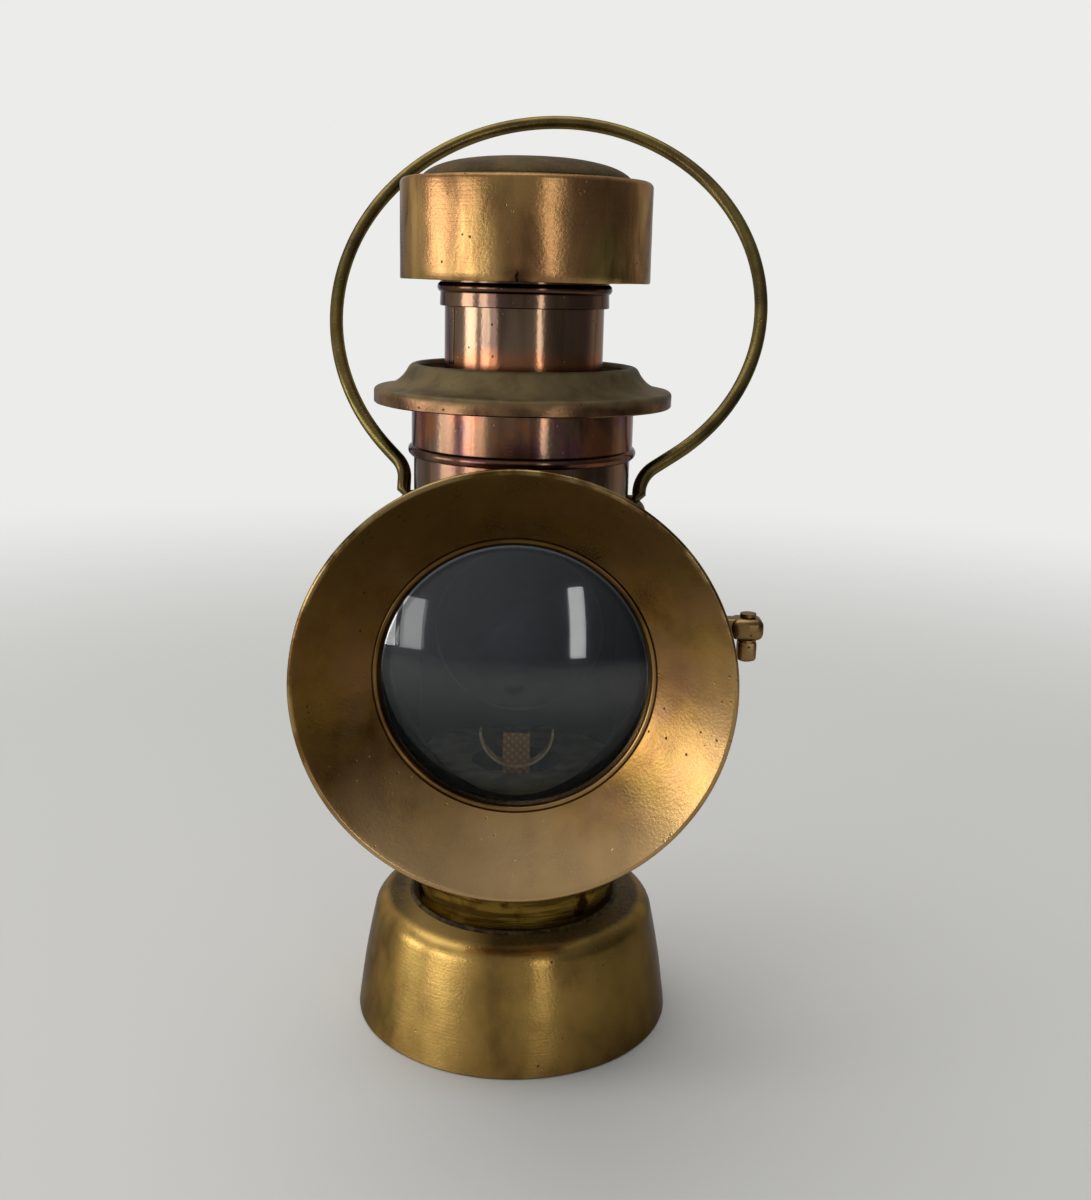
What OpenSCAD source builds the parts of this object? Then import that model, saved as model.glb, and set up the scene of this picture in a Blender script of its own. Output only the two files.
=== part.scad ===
// Kerosene side lamp: a conical oil font, a case with a hooded lens door, a lift-off cowl and a bail.
// Millimetres. The origin is the centre of the foot, +Z is up and the lens looks along -Y.

/* [Font] */
// Radius of the font where it stands
base_r = 66; // [62:0.5:74]
// Height of the font's shoulder
base_h = 50.5; // [44:0.5:60]
// Radius at which the cone would meet the shoulder
shoulder_r = 58.6; // [55:0.2:61]
// Radius of the rounded edge of the shoulder
shoulder_round = 3.5; // [2:0.5:6]
// Wall of the spun font
font_wall = 1; // [0.8:0.1:1.6]
// Thickness of the soldered bottom plate
bottom_t = 1.2; // [0.8:0.1:2]
// Height of the bright neck band that carries the case
neck_h = 15.5; // [10:0.5:20]
// Wall of the neck band
neck_wall = 1; // [0.8:0.1:1.6]
// Length of the spigot that stands up inside the case
spigot_h = 9; // [6:0.5:10]

/* [Burner] */
// Inner radius of the threaded collar on the font
collar_bore_r = 16.5; // [15:0.5:18]
// Wall of the threaded collar
burner_collar_wall = 3; // [2:0.5:3.5]
// Height of the threaded collar above the shoulder
burner_collar_h = 7; // [5:0.5:9]
// Radius of the burner drum
burner_r = 13; // [12:0.5:13.5]
// Height of the burner drum above its flange
burner_h = 41; // [36:0.5:44]
// Sheet thickness of the burner
burner_wall = 0.8; // [0.6:0.1:1.2]
// Thickness of the burner's flange
burner_flange_t = 1.6; // [1.2:0.2:2.4]
// Number of air holes round the burner
air_holes = 10; // [6:1:12]
// Radius of an air hole
air_hole_r = 1.5; // [1:0.1:2]
// Width of the flat wick
wick_w = 9.5; // [8:0.5:11]
// Thickness of the flat wick
wick_t = 1.6; // [1.2:0.1:2.2]
// Height that the wick stands above its tube
wick_proud = 1; // [0.5:0.1:2]
// Clearance round the wick in its tube
wick_gap = 0.2; // [0.15:0.05:0.3]
// Wall of the wick tube
wick_wall = 0.7; // [0.5:0.1:1]
// Height of the wick tube above the burner drum
wick_tube_rise = 20; // [14:0.5:24]
// Radius of the U-shaped saddle round the wick tube
saddle_r = 15.5; // [13:0.5:17]
// Thickness of the saddle strip
saddle_t = 0.9; // [0.7:0.1:1.4]
// Width of the saddle strip
saddle_w = 5.2; // [5.2:0.2:7]

/* [Wick winder] */
// Radius of the winder spindle
spindle_r = 1.2; // [1:0.1:1.5]
// Height of the spindle above the burner's flange
spindle_rise = 20.9; // [16:0.5:26]
// Radius of a toothed wheel over its teeth
star_r = 3.6; // [3:0.1:4.2]
// Height of a tooth
star_tooth = 1; // [0.6:0.1:1.3]
// Number of teeth on a wheel
star_teeth = 10; // [8:1:14]
// Thickness of a toothed wheel
star_t = 1.2; // [0.8:0.1:1.6]
// Distance of each toothed wheel from the middle of the wick
star_offset = 2.6; // [2.2:0.1:2.8]
// Radius of the winder knob
knob_r = 8; // [6:0.5:9]
// Thickness of the winder knob
knob_t = 8; // [6:0.5:10]
// Distance of the knob from the case
knob_stand = 6; // [4:0.5:10]

/* [Case] */
// Outer radius of the case tube
case_r = 42.6; // [40:0.2:45]
// Sheet thickness of the case
case_wall = 1; // [0.8:0.1:1.4]
// Height of the case tube
case_h = 186; // [182:1:200]
// Height of the lens axis above the foot of the case tube
lens_rise = 95.5; // [90:0.5:100]
// Outer radius of the lens barrel
barrel_r = 53.6; // [52:0.2:56]
// Distance of the barrel's back wall from the axis of the case
barrel_back = 13; // [10:0.5:18]
// Distance of the barrel's front edge from the axis of the case
barrel_front = 50; // [48:0.5:54]
// Radius of the burner hole in the case floor
floor_hole_r = 18.6; // [17.5:0.2:22]
// Radius of the reflector's rim
reflector_r = 34; // [28:0.5:35]
// Depth of the reflector dish
reflector_depth = 23; // [16:0.5:24]
// Distance of the reflector's rim behind the axis of the case
reflector_set = 10; // [8:0.5:11]
// Width and height of the clip that holds the reflector
clip_w = 12; // [8:0.5:16]

/* [Bail] */
// Diameter of the bail wire
wire_d = 5.5; // [4.5:0.1:6]
// Distance of the bail's pivots below the foot of the sleeve
pivot_drop = 22; // [16:0.5:26]
// Free height for a hand between the cap and the upright bail
hand_room = 43; // [36:1:60]
// Sideways offset of the bail's crown
bail_skew = 13; // [0:0.5:15]
// Angle that the bail leans back at rest
bail_lean = 30; // [0:1:40]
// Upright length of the left foot
foot_run_left = 14; // [12:0.5:18]
// Upright length of the right foot
foot_run_right = 8; // [7.5:0.5:18]
// Bend radius above the left foot
foot_bend_left = 8; // [6:0.5:16]
// Bend radius above the right foot
foot_bend_right = 14; // [6:0.5:16]
// Straight length above the left bend
straight_left = 8; // [4:0.5:14]
// Straight length above the right bend
straight_right = 10.5; // [4:0.5:14]
// Thickness of the flattened tongue at each end
tongue_t = 2.4; // [2:0.1:2.6]
// Radius of the eye at each end
eye_r = 5; // [4.6:0.1:6]
// Radius of the pivot rivet
rivet_r = 2.6; // [2.2:0.1:3]
// Radius of the rivet's domed head
rivet_head_r = 5; // [4.2:0.1:5.6]
// Height of the rivet's domed head
rivet_head_h = 2.6; // [2:0.1:3.4]
// Length of the shank inside the case, up to its peened head
rivet_inner_h = 0.4; // [0.3:0.1:1]
// Radius of the boss on the case
boss_r = 7; // [6:0.5:8]
// Thickness of the boss in front of the case tube
boss_t = 1.6; // [1.2:0.1:2.4]

/* [Lens door] */
// Clearance between the door ring and the barrel
door_gap = 0.6; // [0.4:0.1:0.9]
// Sheet thickness of the door ring
ring_wall = 1; // [0.8:0.1:1.4]
// Length of the door ring from its back edge to its front face
ring_h = 12.7; // [11:0.1:15]
// Length that the door ring reaches over the barrel
ring_lap = 4; // [2.5:0.5:6]
// Width of the front face that holds the lens
bezel_w = 4.9; // [4:0.1:5.4]
// Radius of the bead round the lens
bead_r = 1.1; // [0.8:0.1:1.3]
// Outer radius of the hood
hood_r = 80; // [74:0.5:86]
// Depth of the hood in front of the door ring
hood_depth = 20.3; // [15:0.5:28]
// Sheet thickness of the hood
hood_wall = 1; // [0.8:0.1:1.4]
// Radius of the rolled hem round the hood
hem_r = 1.3; // [1:0.1:1.8]
// Height of the lens's curve
lens_bulge = 11; // [8:0.5:13]
// Thickness of the lens
lens_t = 3; // [2.4:0.1:3.6]
// Clearance round the edge of the lens
lens_gap = 0.2; // [0.1:0.05:0.4]
// Width of the retaining ring behind the lens
retainer_w = 4.2; // [3.4:0.1:5]

/* [Hinge] */
// Radius of the hinge knuckles
knuckle_r = 3.2; // [2.8:0.1:3.6]
// Radius of the hinge pin
pin_r = 1.5; // [1.2:0.1:1.7]
// Distance of the hinge axis from the door ring
hinge_offset = 6.8; // [6:0.1:8]
// Distance of the hinge axis in front of the ring's back edge
hinge_set = 1; // [0:0.5:2]
// Length of the middle knuckle
knuckle_mid_h = 10.4; // [8:0.2:14]
// Length of each outer knuckle
knuckle_end_h = 8; // [6:0.2:11]
// Sheet thickness of the hinge leaves
leaf_t = 1.2; // [1:0.1:1.6]
// Width of the hinge leaves round the ring and the barrel
leaf_w = 9; // [6:0.5:10]

/* [Door catch] */
// Distance of the catch spindle from the axis of the lamp
catch_x = 86; // [84:0.5:92]
// Height of the lug's lower face above the lens axis
catch_rise = 14.5; // [10:0.5:20]
// Height of the lug
lug_h = 8; // [6:0.5:10]
// Thickness of the lug's arm
lug_t = 4; // [3:0.5:5]
// Radius of the lug's rounded end
lug_r = 5.8; // [5:0.1:6.4]
// Radius of the catch stem
stem_r = 2; // [1.6:0.1:2.4]
// Radius of the stem's head
stem_head_r = 3; // [2.6:0.1:3.6]
// Height of the stem's head
stem_head_h = 1.2; // [0.8:0.1:1.6]
// Reach of the tongue from the stem
tongue_reach = 12; // [11:0.5:13]
// Width of the tongue
tongue_w = 5; // [4.6:0.2:5.4]
// Thickness of the tongue
catch_tongue_t = 1.4; // [1:0.1:2]
// Side of the square thumb knob
thumb_w = 7; // [6:0.2:7.6]
// Height of the thumb knob
thumb_h = 8; // [6:0.5:9]
// Thickness of the strike bracket
strike_t = 1.6; // [1.2:0.1:2]
// Width of the strike
strike_w = 9; // [7:0.5:9.5]
// Free space between the locked tongue and the strike
strike_gap = 0.5; // [0.4:0.1:1]

/* [Cowl] */
// Clearance of the sleeve on the case tube
sleeve_fit = 0.1; // [0.05:0.01:0.1]
// Sheet thickness of the sleeve
sleeve_wall = 0.8; // [0.6:0.1:1.2]
// Length that the sleeve reaches down over the case tube
sleeve_lap = 16; // [12:0.5:20]
// Height of the sleeve
sleeve_h = 30; // [26:0.5:34]
// Radius of the bead round the foot of the sleeve
sleeve_bead_r = 2.2; // [1.6:0.1:2.6]
// Height of the brim's lower edge above the foot of the sleeve
brim_rise = 20.5; // [18:0.5:22]
// Outer radius of the brim
brim_r = 58.1; // [54:0.5:62]
// Height of the brim's upright edge
brim_edge_h = 6; // [4:0.5:7]
// Height of the hollow curve above the edge
brim_curve_h = 9; // [7:0.5:12]
// Sheet thickness of the brim
brim_wall = 1; // [0.8:0.1:1.4]
// Outer radius of the stack
stack_r = 30.8; // [27:0.2:33]
// Sheet thickness of the stack
stack_wall = 0.8; // [0.6:0.1:1.2]
// Height of the visible stack above the brim
stack_rise = 21.9; // [16:0.5:30]
// Depth of the stack below the top of the brim
stack_drop = 21.5; // [18:0.5:24]
// Thickness of the struts
strut_t = 1.2; // [0.8:0.1:1.6]
// Width of the struts
strut_w = 5; // [4:0.5:7]
// Number of struts that carry the stack, and of those that carry the cap
struts = 3; // [3:1:4]
// Wall of the collar round the stack
collar_wall = 1.8; // [1.2:0.1:2.4]
// Height of the collar
collar_h = 24; // [20:0.5:30]
// Radius of the bead on the collar
collar_bead_r = 1.6; // [1:0.1:2]
// Height of the bead above the collar's lower edge
collar_bead_z = 7; // [4:0.5:8]
// Height of the cap's lower edge above that of the collar
cap_rise = 9.6; // [8:0.2:12]
// Outer radius of the cap
cap_r = 48; // [44:0.5:52]
// Height of the cap's drum
cap_h = 37; // [34:0.5:44]
// Sheet thickness of the cap
cap_wall = 1; // [0.8:0.1:1.4]
// Radius of the rounded top edge of the cap
cap_round = 2; // [1.5:0.5:4]
// Radius of the dome on the cap
dome_r = 40; // [34:0.5:42]
// Height of the upright edge of the dome
dome_edge = 1.6; // [1:0.1:2.4]
// Height of the dome above its edge
dome_h = 7.4; // [5:0.2:10]
// Radius of the baffle in the cap
baffle_r = 37; // [35:0.5:40]
// Height of the baffle above the collar
baffle_rise = 8; // [6:0.5:12]

/* [Hidden] */
$fn = 96;

// A cutter reaches this far past the face that it cuts
past = 1;
// Flat running gap between turning faces
run_gap = 0.3;
// Radial clearance of a pin in its bore
pin_fit = 0.06;
// Chamfer on small turned and filed pieces
chamfer = 1;
// Segments of the large shallow curves
arc_fn = 400;

// Font
cone_tilt = atan((base_r - shoulder_r) / base_h);
shoulder_c = [
    base_r - (shoulder_round + (base_h - shoulder_round) * sin(cone_tilt)) / cos(cone_tilt),
    base_h - shoulder_round
];
case_inner_r = case_r - case_wall;
spigot_r = case_inner_r - sleeve_fit;
case_z = base_h + neck_h;
neck_inner_r = spigot_r - neck_wall;

// Burner, wick and winder
thread_gap = 0.1;
thread_r = collar_bore_r - thread_gap;
thread_len = 2;
collar_sink = 3;
collar_rim_w = 2.5;
collar_rim_t = 1.2;
wick_clear = 7;
saddle_clear = 0.8;
slot_gap = 0.8;
spindle_end = 1.5;
knob_cap_t = 2;
knob_rim_t = 3;
knurls = 16;
knurl_r = 0.9;
knurl_out = 0.3;
burner_collar_r = collar_bore_r + burner_collar_wall;
flange_z = base_h + burner_collar_h;
flange_r = burner_collar_r + 1;
drum_z = flange_z + burner_flange_t;
drum_top = drum_z + burner_h;
wick_tube_top = drum_top + wick_tube_rise;
wick_top = wick_tube_top + wick_proud;
wick_bottom = bottom_t + wick_clear;
tube_in = [wick_w + 2 * wick_gap, wick_t + 2 * wick_gap];
tube_out = [tube_in[0] + 2 * wick_wall, tube_in[1] + 2 * wick_wall];
spindle_z = drum_z + spindle_rise;
spindle_y = wick_t / 2 + run_gap + star_r;
saddle_z = wick_tube_top + saddle_clear;
knob_x = case_r + knob_stand;

// Case
lens_z = case_z + lens_rise;
case_top = case_z + case_h;
barrel_inner_r = barrel_r - case_wall;
floor_z = lens_z - barrel_inner_r - case_wall;
slot_w = 2 * (spindle_r + slot_gap);
dish_r = (reflector_r * reflector_r + reflector_depth * reflector_depth) / (2 * reflector_depth);
dish_c = -reflector_set - reflector_depth + dish_r;

// Door, along the lens axis from the axis of the lamp
hood_seat = 0.1;
retainer_sink = 1;
ring_in = barrel_r + door_gap;
ring_out = ring_in + ring_wall;
ring_back = barrel_front - ring_lap;
ring_front = ring_back + ring_h;
bezel_in = ring_out - bezel_w;
bead_c = bezel_in + bead_r;
hood_front = ring_front + hood_depth;
hood_foot = bead_c + bead_r + hood_seat;
hem_c = [hood_r - hem_r, hood_front - hem_r];
hood_len = norm(hem_c - [hood_foot, ring_front + hood_wall]);
hood_dir = (hem_c - [hood_foot, ring_front + hood_wall]) / hood_len;
hood_back = [hood_dir[1], -hood_dir[0]] * hood_wall;
hood_rise = hood_dir[1] / hood_dir[0];
lens_edge = ring_front - ring_wall;
lens_out = ring_in - lens_gap;
lens_front_r = (bezel_in * bezel_in + lens_bulge * lens_bulge) / (2 * lens_bulge);
lens_c = lens_edge + lens_bulge - lens_front_r;
lens_back_r = lens_front_r - lens_t;
retainer_back = lens_c + sqrt(lens_back_r * lens_back_r - ring_in * ring_in) - retainer_sink;

// Hinge
hinge_x = -(ring_out + hinge_offset);
hinge_f = ring_back + hinge_set;
leaf_clear = 1.5;
leaf_set = 0.5;
leaf_root = 2;
pin_head_w = 0.8;
knuckle_case_z = knuckle_mid_h / 2 + run_gap;

// Catch, at the same distance forward as the hinge axis
catch_set = 1;
strike_stand = 3.5;
strike_root = 6;
strike_foot_w = 6.5;
tongue_hub = 1;
catch_f = hinge_f + catch_set;
lug_z = lens_z + catch_rise;
tongue_z = lug_z - run_gap - catch_tongue_t;
thumb_z = tongue_z - thumb_h;
strike_z = tongue_z - run_gap - strike_t;
strike_x = catch_x - thumb_w / 2 - strike_stand;
strike_f = catch_f + tongue_w / 2 + strike_gap;

// Cowl
skirt_set = 1;
spider_rise = 8;
strut_ring_w = 1.2;
strut_ring_h = 3;
cap_strut_rise = 5;
bead_sink = 0.5;
dome_lap = 3;
leg_set = 2.6;
sleeve_in = case_r + sleeve_fit;
sleeve_out = sleeve_in + sleeve_wall;
sleeve_z = case_top - sleeve_lap;
brim_z = sleeve_z + brim_rise;
brim_top = brim_z + brim_edge_h + brim_curve_h;
brim_lip = sleeve_out + brim_wall;
brim_crease = brim_r - brim_wall;
brim_run = brim_crease - brim_lip;
brim_curve_r = (brim_run * brim_run + brim_curve_h * brim_curve_h) / (2 * brim_curve_h);
brim_curve_c = [brim_crease, brim_z + brim_edge_h + brim_curve_r];
stack_z = brim_top - stack_drop;
spider_z = stack_z + spider_rise;
collar_z = brim_top + stack_rise;
collar_r = stack_r + collar_wall;
collar_top = collar_z + collar_h;
stack_top = collar_z + collar_h / 2;
cap_z = collar_z + cap_rise;
cap_top = cap_z + cap_h;
cap_strut_z = cap_z + cap_strut_rise;
baffle_z = collar_top + baffle_rise;
dome_foot_r = dome_r - dome_lap;
dome_sphere_r = (dome_r * dome_r + dome_h * dome_h) / (2 * dome_h);
dome_top = cap_top + dome_edge + dome_h;
strut_turn = 90;

// Bail: each half is an upright foot, a bend outwards, a straight and one long sweep to the crown
pivot_z = sleeve_z - pivot_drop;
boss_x = case_r + boss_t;
foot_x = boss_x + run_gap + wire_d / 2;
head_x = boss_x + 2 * run_gap + tongue_t;
crown_h = dome_top - pivot_z + hand_room + wire_d / 2;
tongue_clear = 2;
tongue_step = rivet_head_r + tongue_clear;
eye_bore_r = rivet_r + pin_fit;
joint_swell = 0.05;

// The half's sweep radius plus its bend radius, so that foot, bend, straight and sweep meet at the crown
function half_sum(across, up, straight) = (across * across + up * up - straight * straight) / (2 * up);
function splay(across, up, straight) =
    atan2(up - half_sum(across, up, straight), across) - atan2(straight, half_sum(across, up, straight));

// A ring about the lamp's axis
module ring(r_out, r_in, z0, z1) {
    translate([0, 0, z0]) difference() {
        cylinder(r = r_out, h = z1 - z0);
        translate([0, 0, -past]) cylinder(r = r_in, h = z1 - z0 + 2 * past);
    }
}

// Turns a shape so that its height runs forward along the lens axis
module about_lens() {
    translate([0, 0, lens_z]) rotate([90, 0, 0]) children();
}

// A cylinder along X that starts at x0
module rod_x(r, x0, x1, y, z) {
    translate([x0, y, z]) rotate([0, 90, 0]) cylinder(r = r, h = x1 - x0);
}

// Evenly spaced arms between two radii about the lamp's axis
module arms(r0, r1, z) {
    for (i = [0 : struts - 1]) rotate(strut_turn + i * 360 / struts)
        translate([r0, -strut_w / 2, z]) cube([r1 - r0, strut_w, strut_t]);
}

// Outline of the font, moved inwards by inset
module font_outline(inset) {
    n = [cos(cone_tilt), sin(cone_tilt)];
    tangent = shoulder_c + n * (shoulder_round - inset);
    polygon([[0, 0], [base_r - inset / cos(cone_tilt), 0], tangent, shoulder_c,
             [shoulder_c[0], base_h - inset], [0, base_h - inset]]);
    translate(shoulder_c) circle(r = shoulder_round - inset);
}

module font_shell() color("#8a6a35") rotate_extrude() difference() {
    font_outline(0);
    font_outline(font_wall);
    translate([0, base_h - 2 * font_wall]) square([burner_collar_r, 3 * font_wall]);
}

module font_bottom() color("#7d6133") rotate_extrude() intersection() {
    font_outline(font_wall);
    square([base_r, bottom_t]);
}

module font_neck() color("#b3923f") {
    ring(case_r, neck_inner_r, base_h, case_z);
    ring(spigot_r, neck_inner_r, base_h, case_z + spigot_h);
}

module burner_collar() color("#a5853c") {
    ring(burner_collar_r, collar_bore_r, base_h - collar_sink, flange_z);
    ring(burner_collar_r + collar_rim_w, burner_collar_r - past, base_h, base_h + collar_rim_t);
}

module burner_drum() color("#a08244") difference() {
    union() {
        translate([0, 0, base_h - thread_len]) cylinder(r = thread_r, h = burner_collar_h + thread_len);
        translate([0, 0, flange_z]) cylinder(r = flange_r, h = burner_flange_t);
        translate([0, 0, drum_z]) cylinder(r = burner_r, h = burner_h);
    }
    translate([0, 0, base_h - thread_len - past])
        cylinder(r = thread_r - burner_wall, h = burner_collar_h + thread_len);
    translate([0, 0, drum_z]) cylinder(r = burner_r - burner_wall, h = burner_h - burner_wall);
    translate([-tube_out[0] / 2, -tube_out[1] / 2, base_h]) cube([tube_out[0], tube_out[1], drum_top]);
    rod_x(spindle_r + pin_fit, -burner_r - past, burner_r + past, spindle_y, spindle_z);
    for (i = [0 : air_holes - 1]) rotate((i + 0.5) * 360 / air_holes)
        rod_x(air_hole_r, burner_r / 2, burner_r + past, 0, drum_top - 3 * air_hole_r);
}

module wick_tube() color("#a98c4b") difference() {
    translate([-tube_out[0] / 2, -tube_out[1] / 2, flange_z])
        cube([tube_out[0], tube_out[1], wick_tube_top - flange_z]);
    translate([-tube_in[0] / 2, -tube_in[1] / 2, flange_z - past])
        cube([tube_in[0], tube_in[1], wick_tube_top - flange_z + 2 * past]);
    for (side = [-1, 1]) translate([side * star_offset - star_t / 2 - run_gap, 0, spindle_z - star_r])
        cube([star_t + 2 * run_gap, tube_out[1], 2 * star_r]);
}

module burner_saddle() color("#c9a64a") difference() {
    translate([0, saddle_w / 2, saddle_z]) rotate([90, 0, 0]) difference() {
        cylinder(r = saddle_r, h = saddle_w);
        translate([0, 0, -past]) cylinder(r = saddle_r - saddle_t, h = saddle_w + 2 * past);
        translate([-2 * saddle_r, 0, -past]) cube([4 * saddle_r, 2 * saddle_r, saddle_w + 2 * past]);
    }
    translate([-tube_out[0] / 2, -tube_out[1] / 2, drum_top])
        cube([tube_out[0], tube_out[1], wick_tube_rise]);
}

module wick() color("#cfc09a") translate([-wick_w / 2, -wick_t / 2, wick_bottom])
    cube([wick_w, wick_t, wick_top - wick_bottom]);

module winder_spindle() color("#9a7d40")
    rod_x(spindle_r, -burner_r - spindle_end, knob_x + knob_t - knob_cap_t, spindle_y, spindle_z);

module star() {
    circle(r = star_r - star_tooth);
    for (i = [0 : star_teeth - 1]) rotate(i * 360 / star_teeth)
        polygon([[0, -star_tooth], [star_r, 0], [0, star_tooth]]);
}

module winder_wheels() color("#93773c") for (side = [-1, 1])
    translate([side * star_offset - star_t / 2, spindle_y, spindle_z]) rotate([90, 0, 90])
        linear_extrude(star_t) difference() {
            star();
            circle(r = spindle_r);
        }

module winder_knob() color("#8d6e34") difference() {
    union() {
        rod_x(knob_r, knob_x + knob_t - knob_rim_t, knob_x + knob_t, spindle_y, spindle_z);
        rod_x(knob_r / 2, knob_x, knob_x + knob_t, spindle_y, spindle_z);
    }
    rod_x(spindle_r, knob_x - past, knob_x + knob_t - knob_cap_t, spindle_y, spindle_z);
    for (i = [0 : knurls - 1]) translate([knob_x, spindle_y, spindle_z]) rotate([i * 360 / knurls, 0, 0])
        translate([-past, 0, knob_r + knurl_out]) rotate([0, 90, 0])
            cylinder(r = knurl_r, h = knob_t + 2 * past);
}

module case_tube() color("#6b4636") difference() {
    ring(case_r, case_inner_r, case_z, case_top);
    about_lens() translate([0, 0, barrel_back + case_wall]) cylinder(r = barrel_inner_r, h = case_r);
    translate([0, spindle_y - slot_w / 2, case_z - past])
        cube([case_r + past, slot_w, spindle_z - case_z + past]);
    rod_x(slot_w / 2, 0, case_r + past, spindle_y, spindle_z);
    rod_x(rivet_r, -case_r - past, case_r + past, 0, pivot_z);
}

module lens_barrel() color("#7a5a35") difference() {
    about_lens() difference() {
        translate([0, 0, barrel_back]) cylinder(r = barrel_r, h = barrel_front - barrel_back);
        translate([0, 0, barrel_back + case_wall]) cylinder(r = barrel_inner_r, h = barrel_front);
    }
    cylinder(r = case_r, h = case_top);
}

module case_floor() color("#6d6346") ring(case_inner_r, floor_hole_r, floor_z, floor_z + case_wall);

module reflector() color("#b9b4a6") about_lens() difference() {
    intersection() {
        translate([0, 0, dish_c]) sphere(r = dish_r + case_wall);
        translate([0, 0, dish_c - dish_r - 2 * case_wall])
            cylinder(r = 2 * dish_r, h = reflector_depth + 2 * case_wall);
    }
    translate([0, 0, dish_c]) sphere(r = dish_r);
}

module reflector_clip() color("#7a5a35") intersection() {
    cylinder(r = case_inner_r, h = case_top);
    about_lens() difference() {
        translate([-clip_w / 2, -clip_w / 2, -case_r]) cube([clip_w, clip_w, case_r]);
        translate([0, 0, dish_c]) sphere(r = dish_r + case_wall);
    }
}

module bail_bosses() color("#7d5c34") for (side = [-1, 1]) difference() {
    rod_x(boss_r, side < 0 ? -boss_x : 0, side < 0 ? 0 : boss_x, 0, pivot_z);
    cylinder(r = case_r, h = case_top);
    rod_x(rivet_r, -boss_x - past, boss_x + past, 0, pivot_z);
}

module rivet() {
    head_round = (rivet_head_r * rivet_head_r + rivet_head_h * rivet_head_h) / (2 * rivet_head_h);
    translate([0, 0, pivot_z]) rotate([0, 90, 0]) rotate_extrude() {
        translate([0, case_inner_r - rivet_inner_h]) square([rivet_r, head_x - case_inner_r + rivet_inner_h]);
        translate([0, case_inner_r - rivet_inner_h - 1]) square([rivet_head_r - 1, 1]);
        intersection() {
            translate([0, head_x + rivet_head_h - head_round]) circle(r = head_round);
            translate([0, head_x]) square([rivet_head_r, rivet_head_h]);
        }
    }
}

module bail_rivets() color("#8a6a38") {
    rivet();
    mirror([1, 0, 0]) rivet();
}

// Upright knuckle at the hinge axis, from z0 to z1 above the lens axis
module knuckle(z0, z1) {
    translate([hinge_x, -hinge_f, lens_z + z0]) cylinder(r = knuckle_r, h = z1 - z0);
}

module hinge_bore(r) {
    translate([hinge_x, -hinge_f, lens_z - knuckle_case_z - knuckle_end_h - past])
        cylinder(r = r, h = 2 * (knuckle_case_z + knuckle_end_h + past));
}

module hinge_leaf_case() color("#7d5c34") {
    height = knuckle_case_z + knuckle_end_h;
    leaf_f = ring_back - leaf_clear;
    intersection() {
        about_lens() translate([0, 0, leaf_f - leaf_w]) difference() {
            cylinder(r = barrel_r + leaf_t, h = leaf_w);
            translate([0, 0, -past]) cylinder(r = barrel_r, h = leaf_w + 2 * past);
        }
        translate([-2 * barrel_r, -barrel_front, lens_z - height])
            cube([2 * barrel_r, barrel_front, 2 * height]);
    }
    for (side = [-1, 1]) mirror_z(side) difference() {
        union() {
            knuckle(knuckle_case_z, height);
            difference() {
                translate([hinge_x, -hinge_f + knuckle_r - leaf_t, lens_z + knuckle_case_z])
                    cube([hinge_offset + ring_wall + door_gap + leaf_root, leaf_t, knuckle_end_h]);
                about_lens() cylinder(r = barrel_r + leaf_t, h = barrel_front);
            }
        }
        hinge_bore(pin_r);
    }
}

// Keeps a shape above the lens axis, or mirrors it to below
module mirror_z(side) {
    translate([0, 0, lens_z]) mirror([0, 0, side < 0 ? 1 : 0]) translate([0, 0, -lens_z]) children();
}

module hinge_pin() color("#9a7d40") {
    height = knuckle_case_z + knuckle_end_h;
    translate([hinge_x, -hinge_f, lens_z - height]) cylinder(r = pin_r, h = 2 * height);
    for (end = [-height - chamfer, height]) translate([hinge_x, -hinge_f, lens_z + end])
        cylinder(r = pin_r + pin_head_w, h = chamfer);
}

module hinge_leaf_door() color("#8a6a38") {
    half = knuckle_mid_h / 2;
    intersection() {
        about_lens() translate([0, 0, ring_back + leaf_set]) difference() {
            cylinder(r = ring_out + leaf_t, h = leaf_w);
            translate([0, 0, -past]) cylinder(r = ring_out, h = leaf_w + 2 * past);
        }
        translate([-2 * ring_out, -ring_front - leaf_w, lens_z - half])
            cube([2 * ring_out, 2 * leaf_w, 2 * half]);
    }
    difference() {
        union() {
            knuckle(-half, half);
            difference() {
                translate([hinge_x, -hinge_f - knuckle_r, lens_z - half])
                    cube([hinge_offset + leaf_t, leaf_t, 2 * half]);
                about_lens() cylinder(r = ring_out + leaf_t / 2, h = ring_front);
            }
        }
        hinge_bore(pin_r + pin_fit);
    }
}

module catch_strike() color("#7d5c34") {
    root_f = ring_back - leaf_clear - strike_foot_w;
    difference() {
        translate([barrel_r - strike_root, -ring_back + leaf_clear, strike_z])
            cube([strike_x - barrel_r + strike_root, strike_foot_w, strike_t]);
        about_lens() cylinder(r = barrel_r, h = barrel_front);
    }
    translate([strike_x - strike_w, -strike_f - strike_t, strike_z])
        cube([strike_w, strike_f + strike_t - root_f, strike_t]);
    translate([strike_x - strike_w, -strike_f - strike_t, strike_z])
        cube([strike_w, strike_t, strike_t + catch_tongue_t + run_gap]);
}

module door_ring() color("#85622f") about_lens() rotate_extrude() {
    difference() {
        translate([bezel_in, ring_back]) square([bezel_w, ring_h]);
        translate([bezel_in - past, ring_back - past])
            square([ring_in - bezel_in + past, ring_h - ring_wall + past]);
    }
    translate([bead_c, ring_front]) circle(r = bead_r);
}

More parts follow.
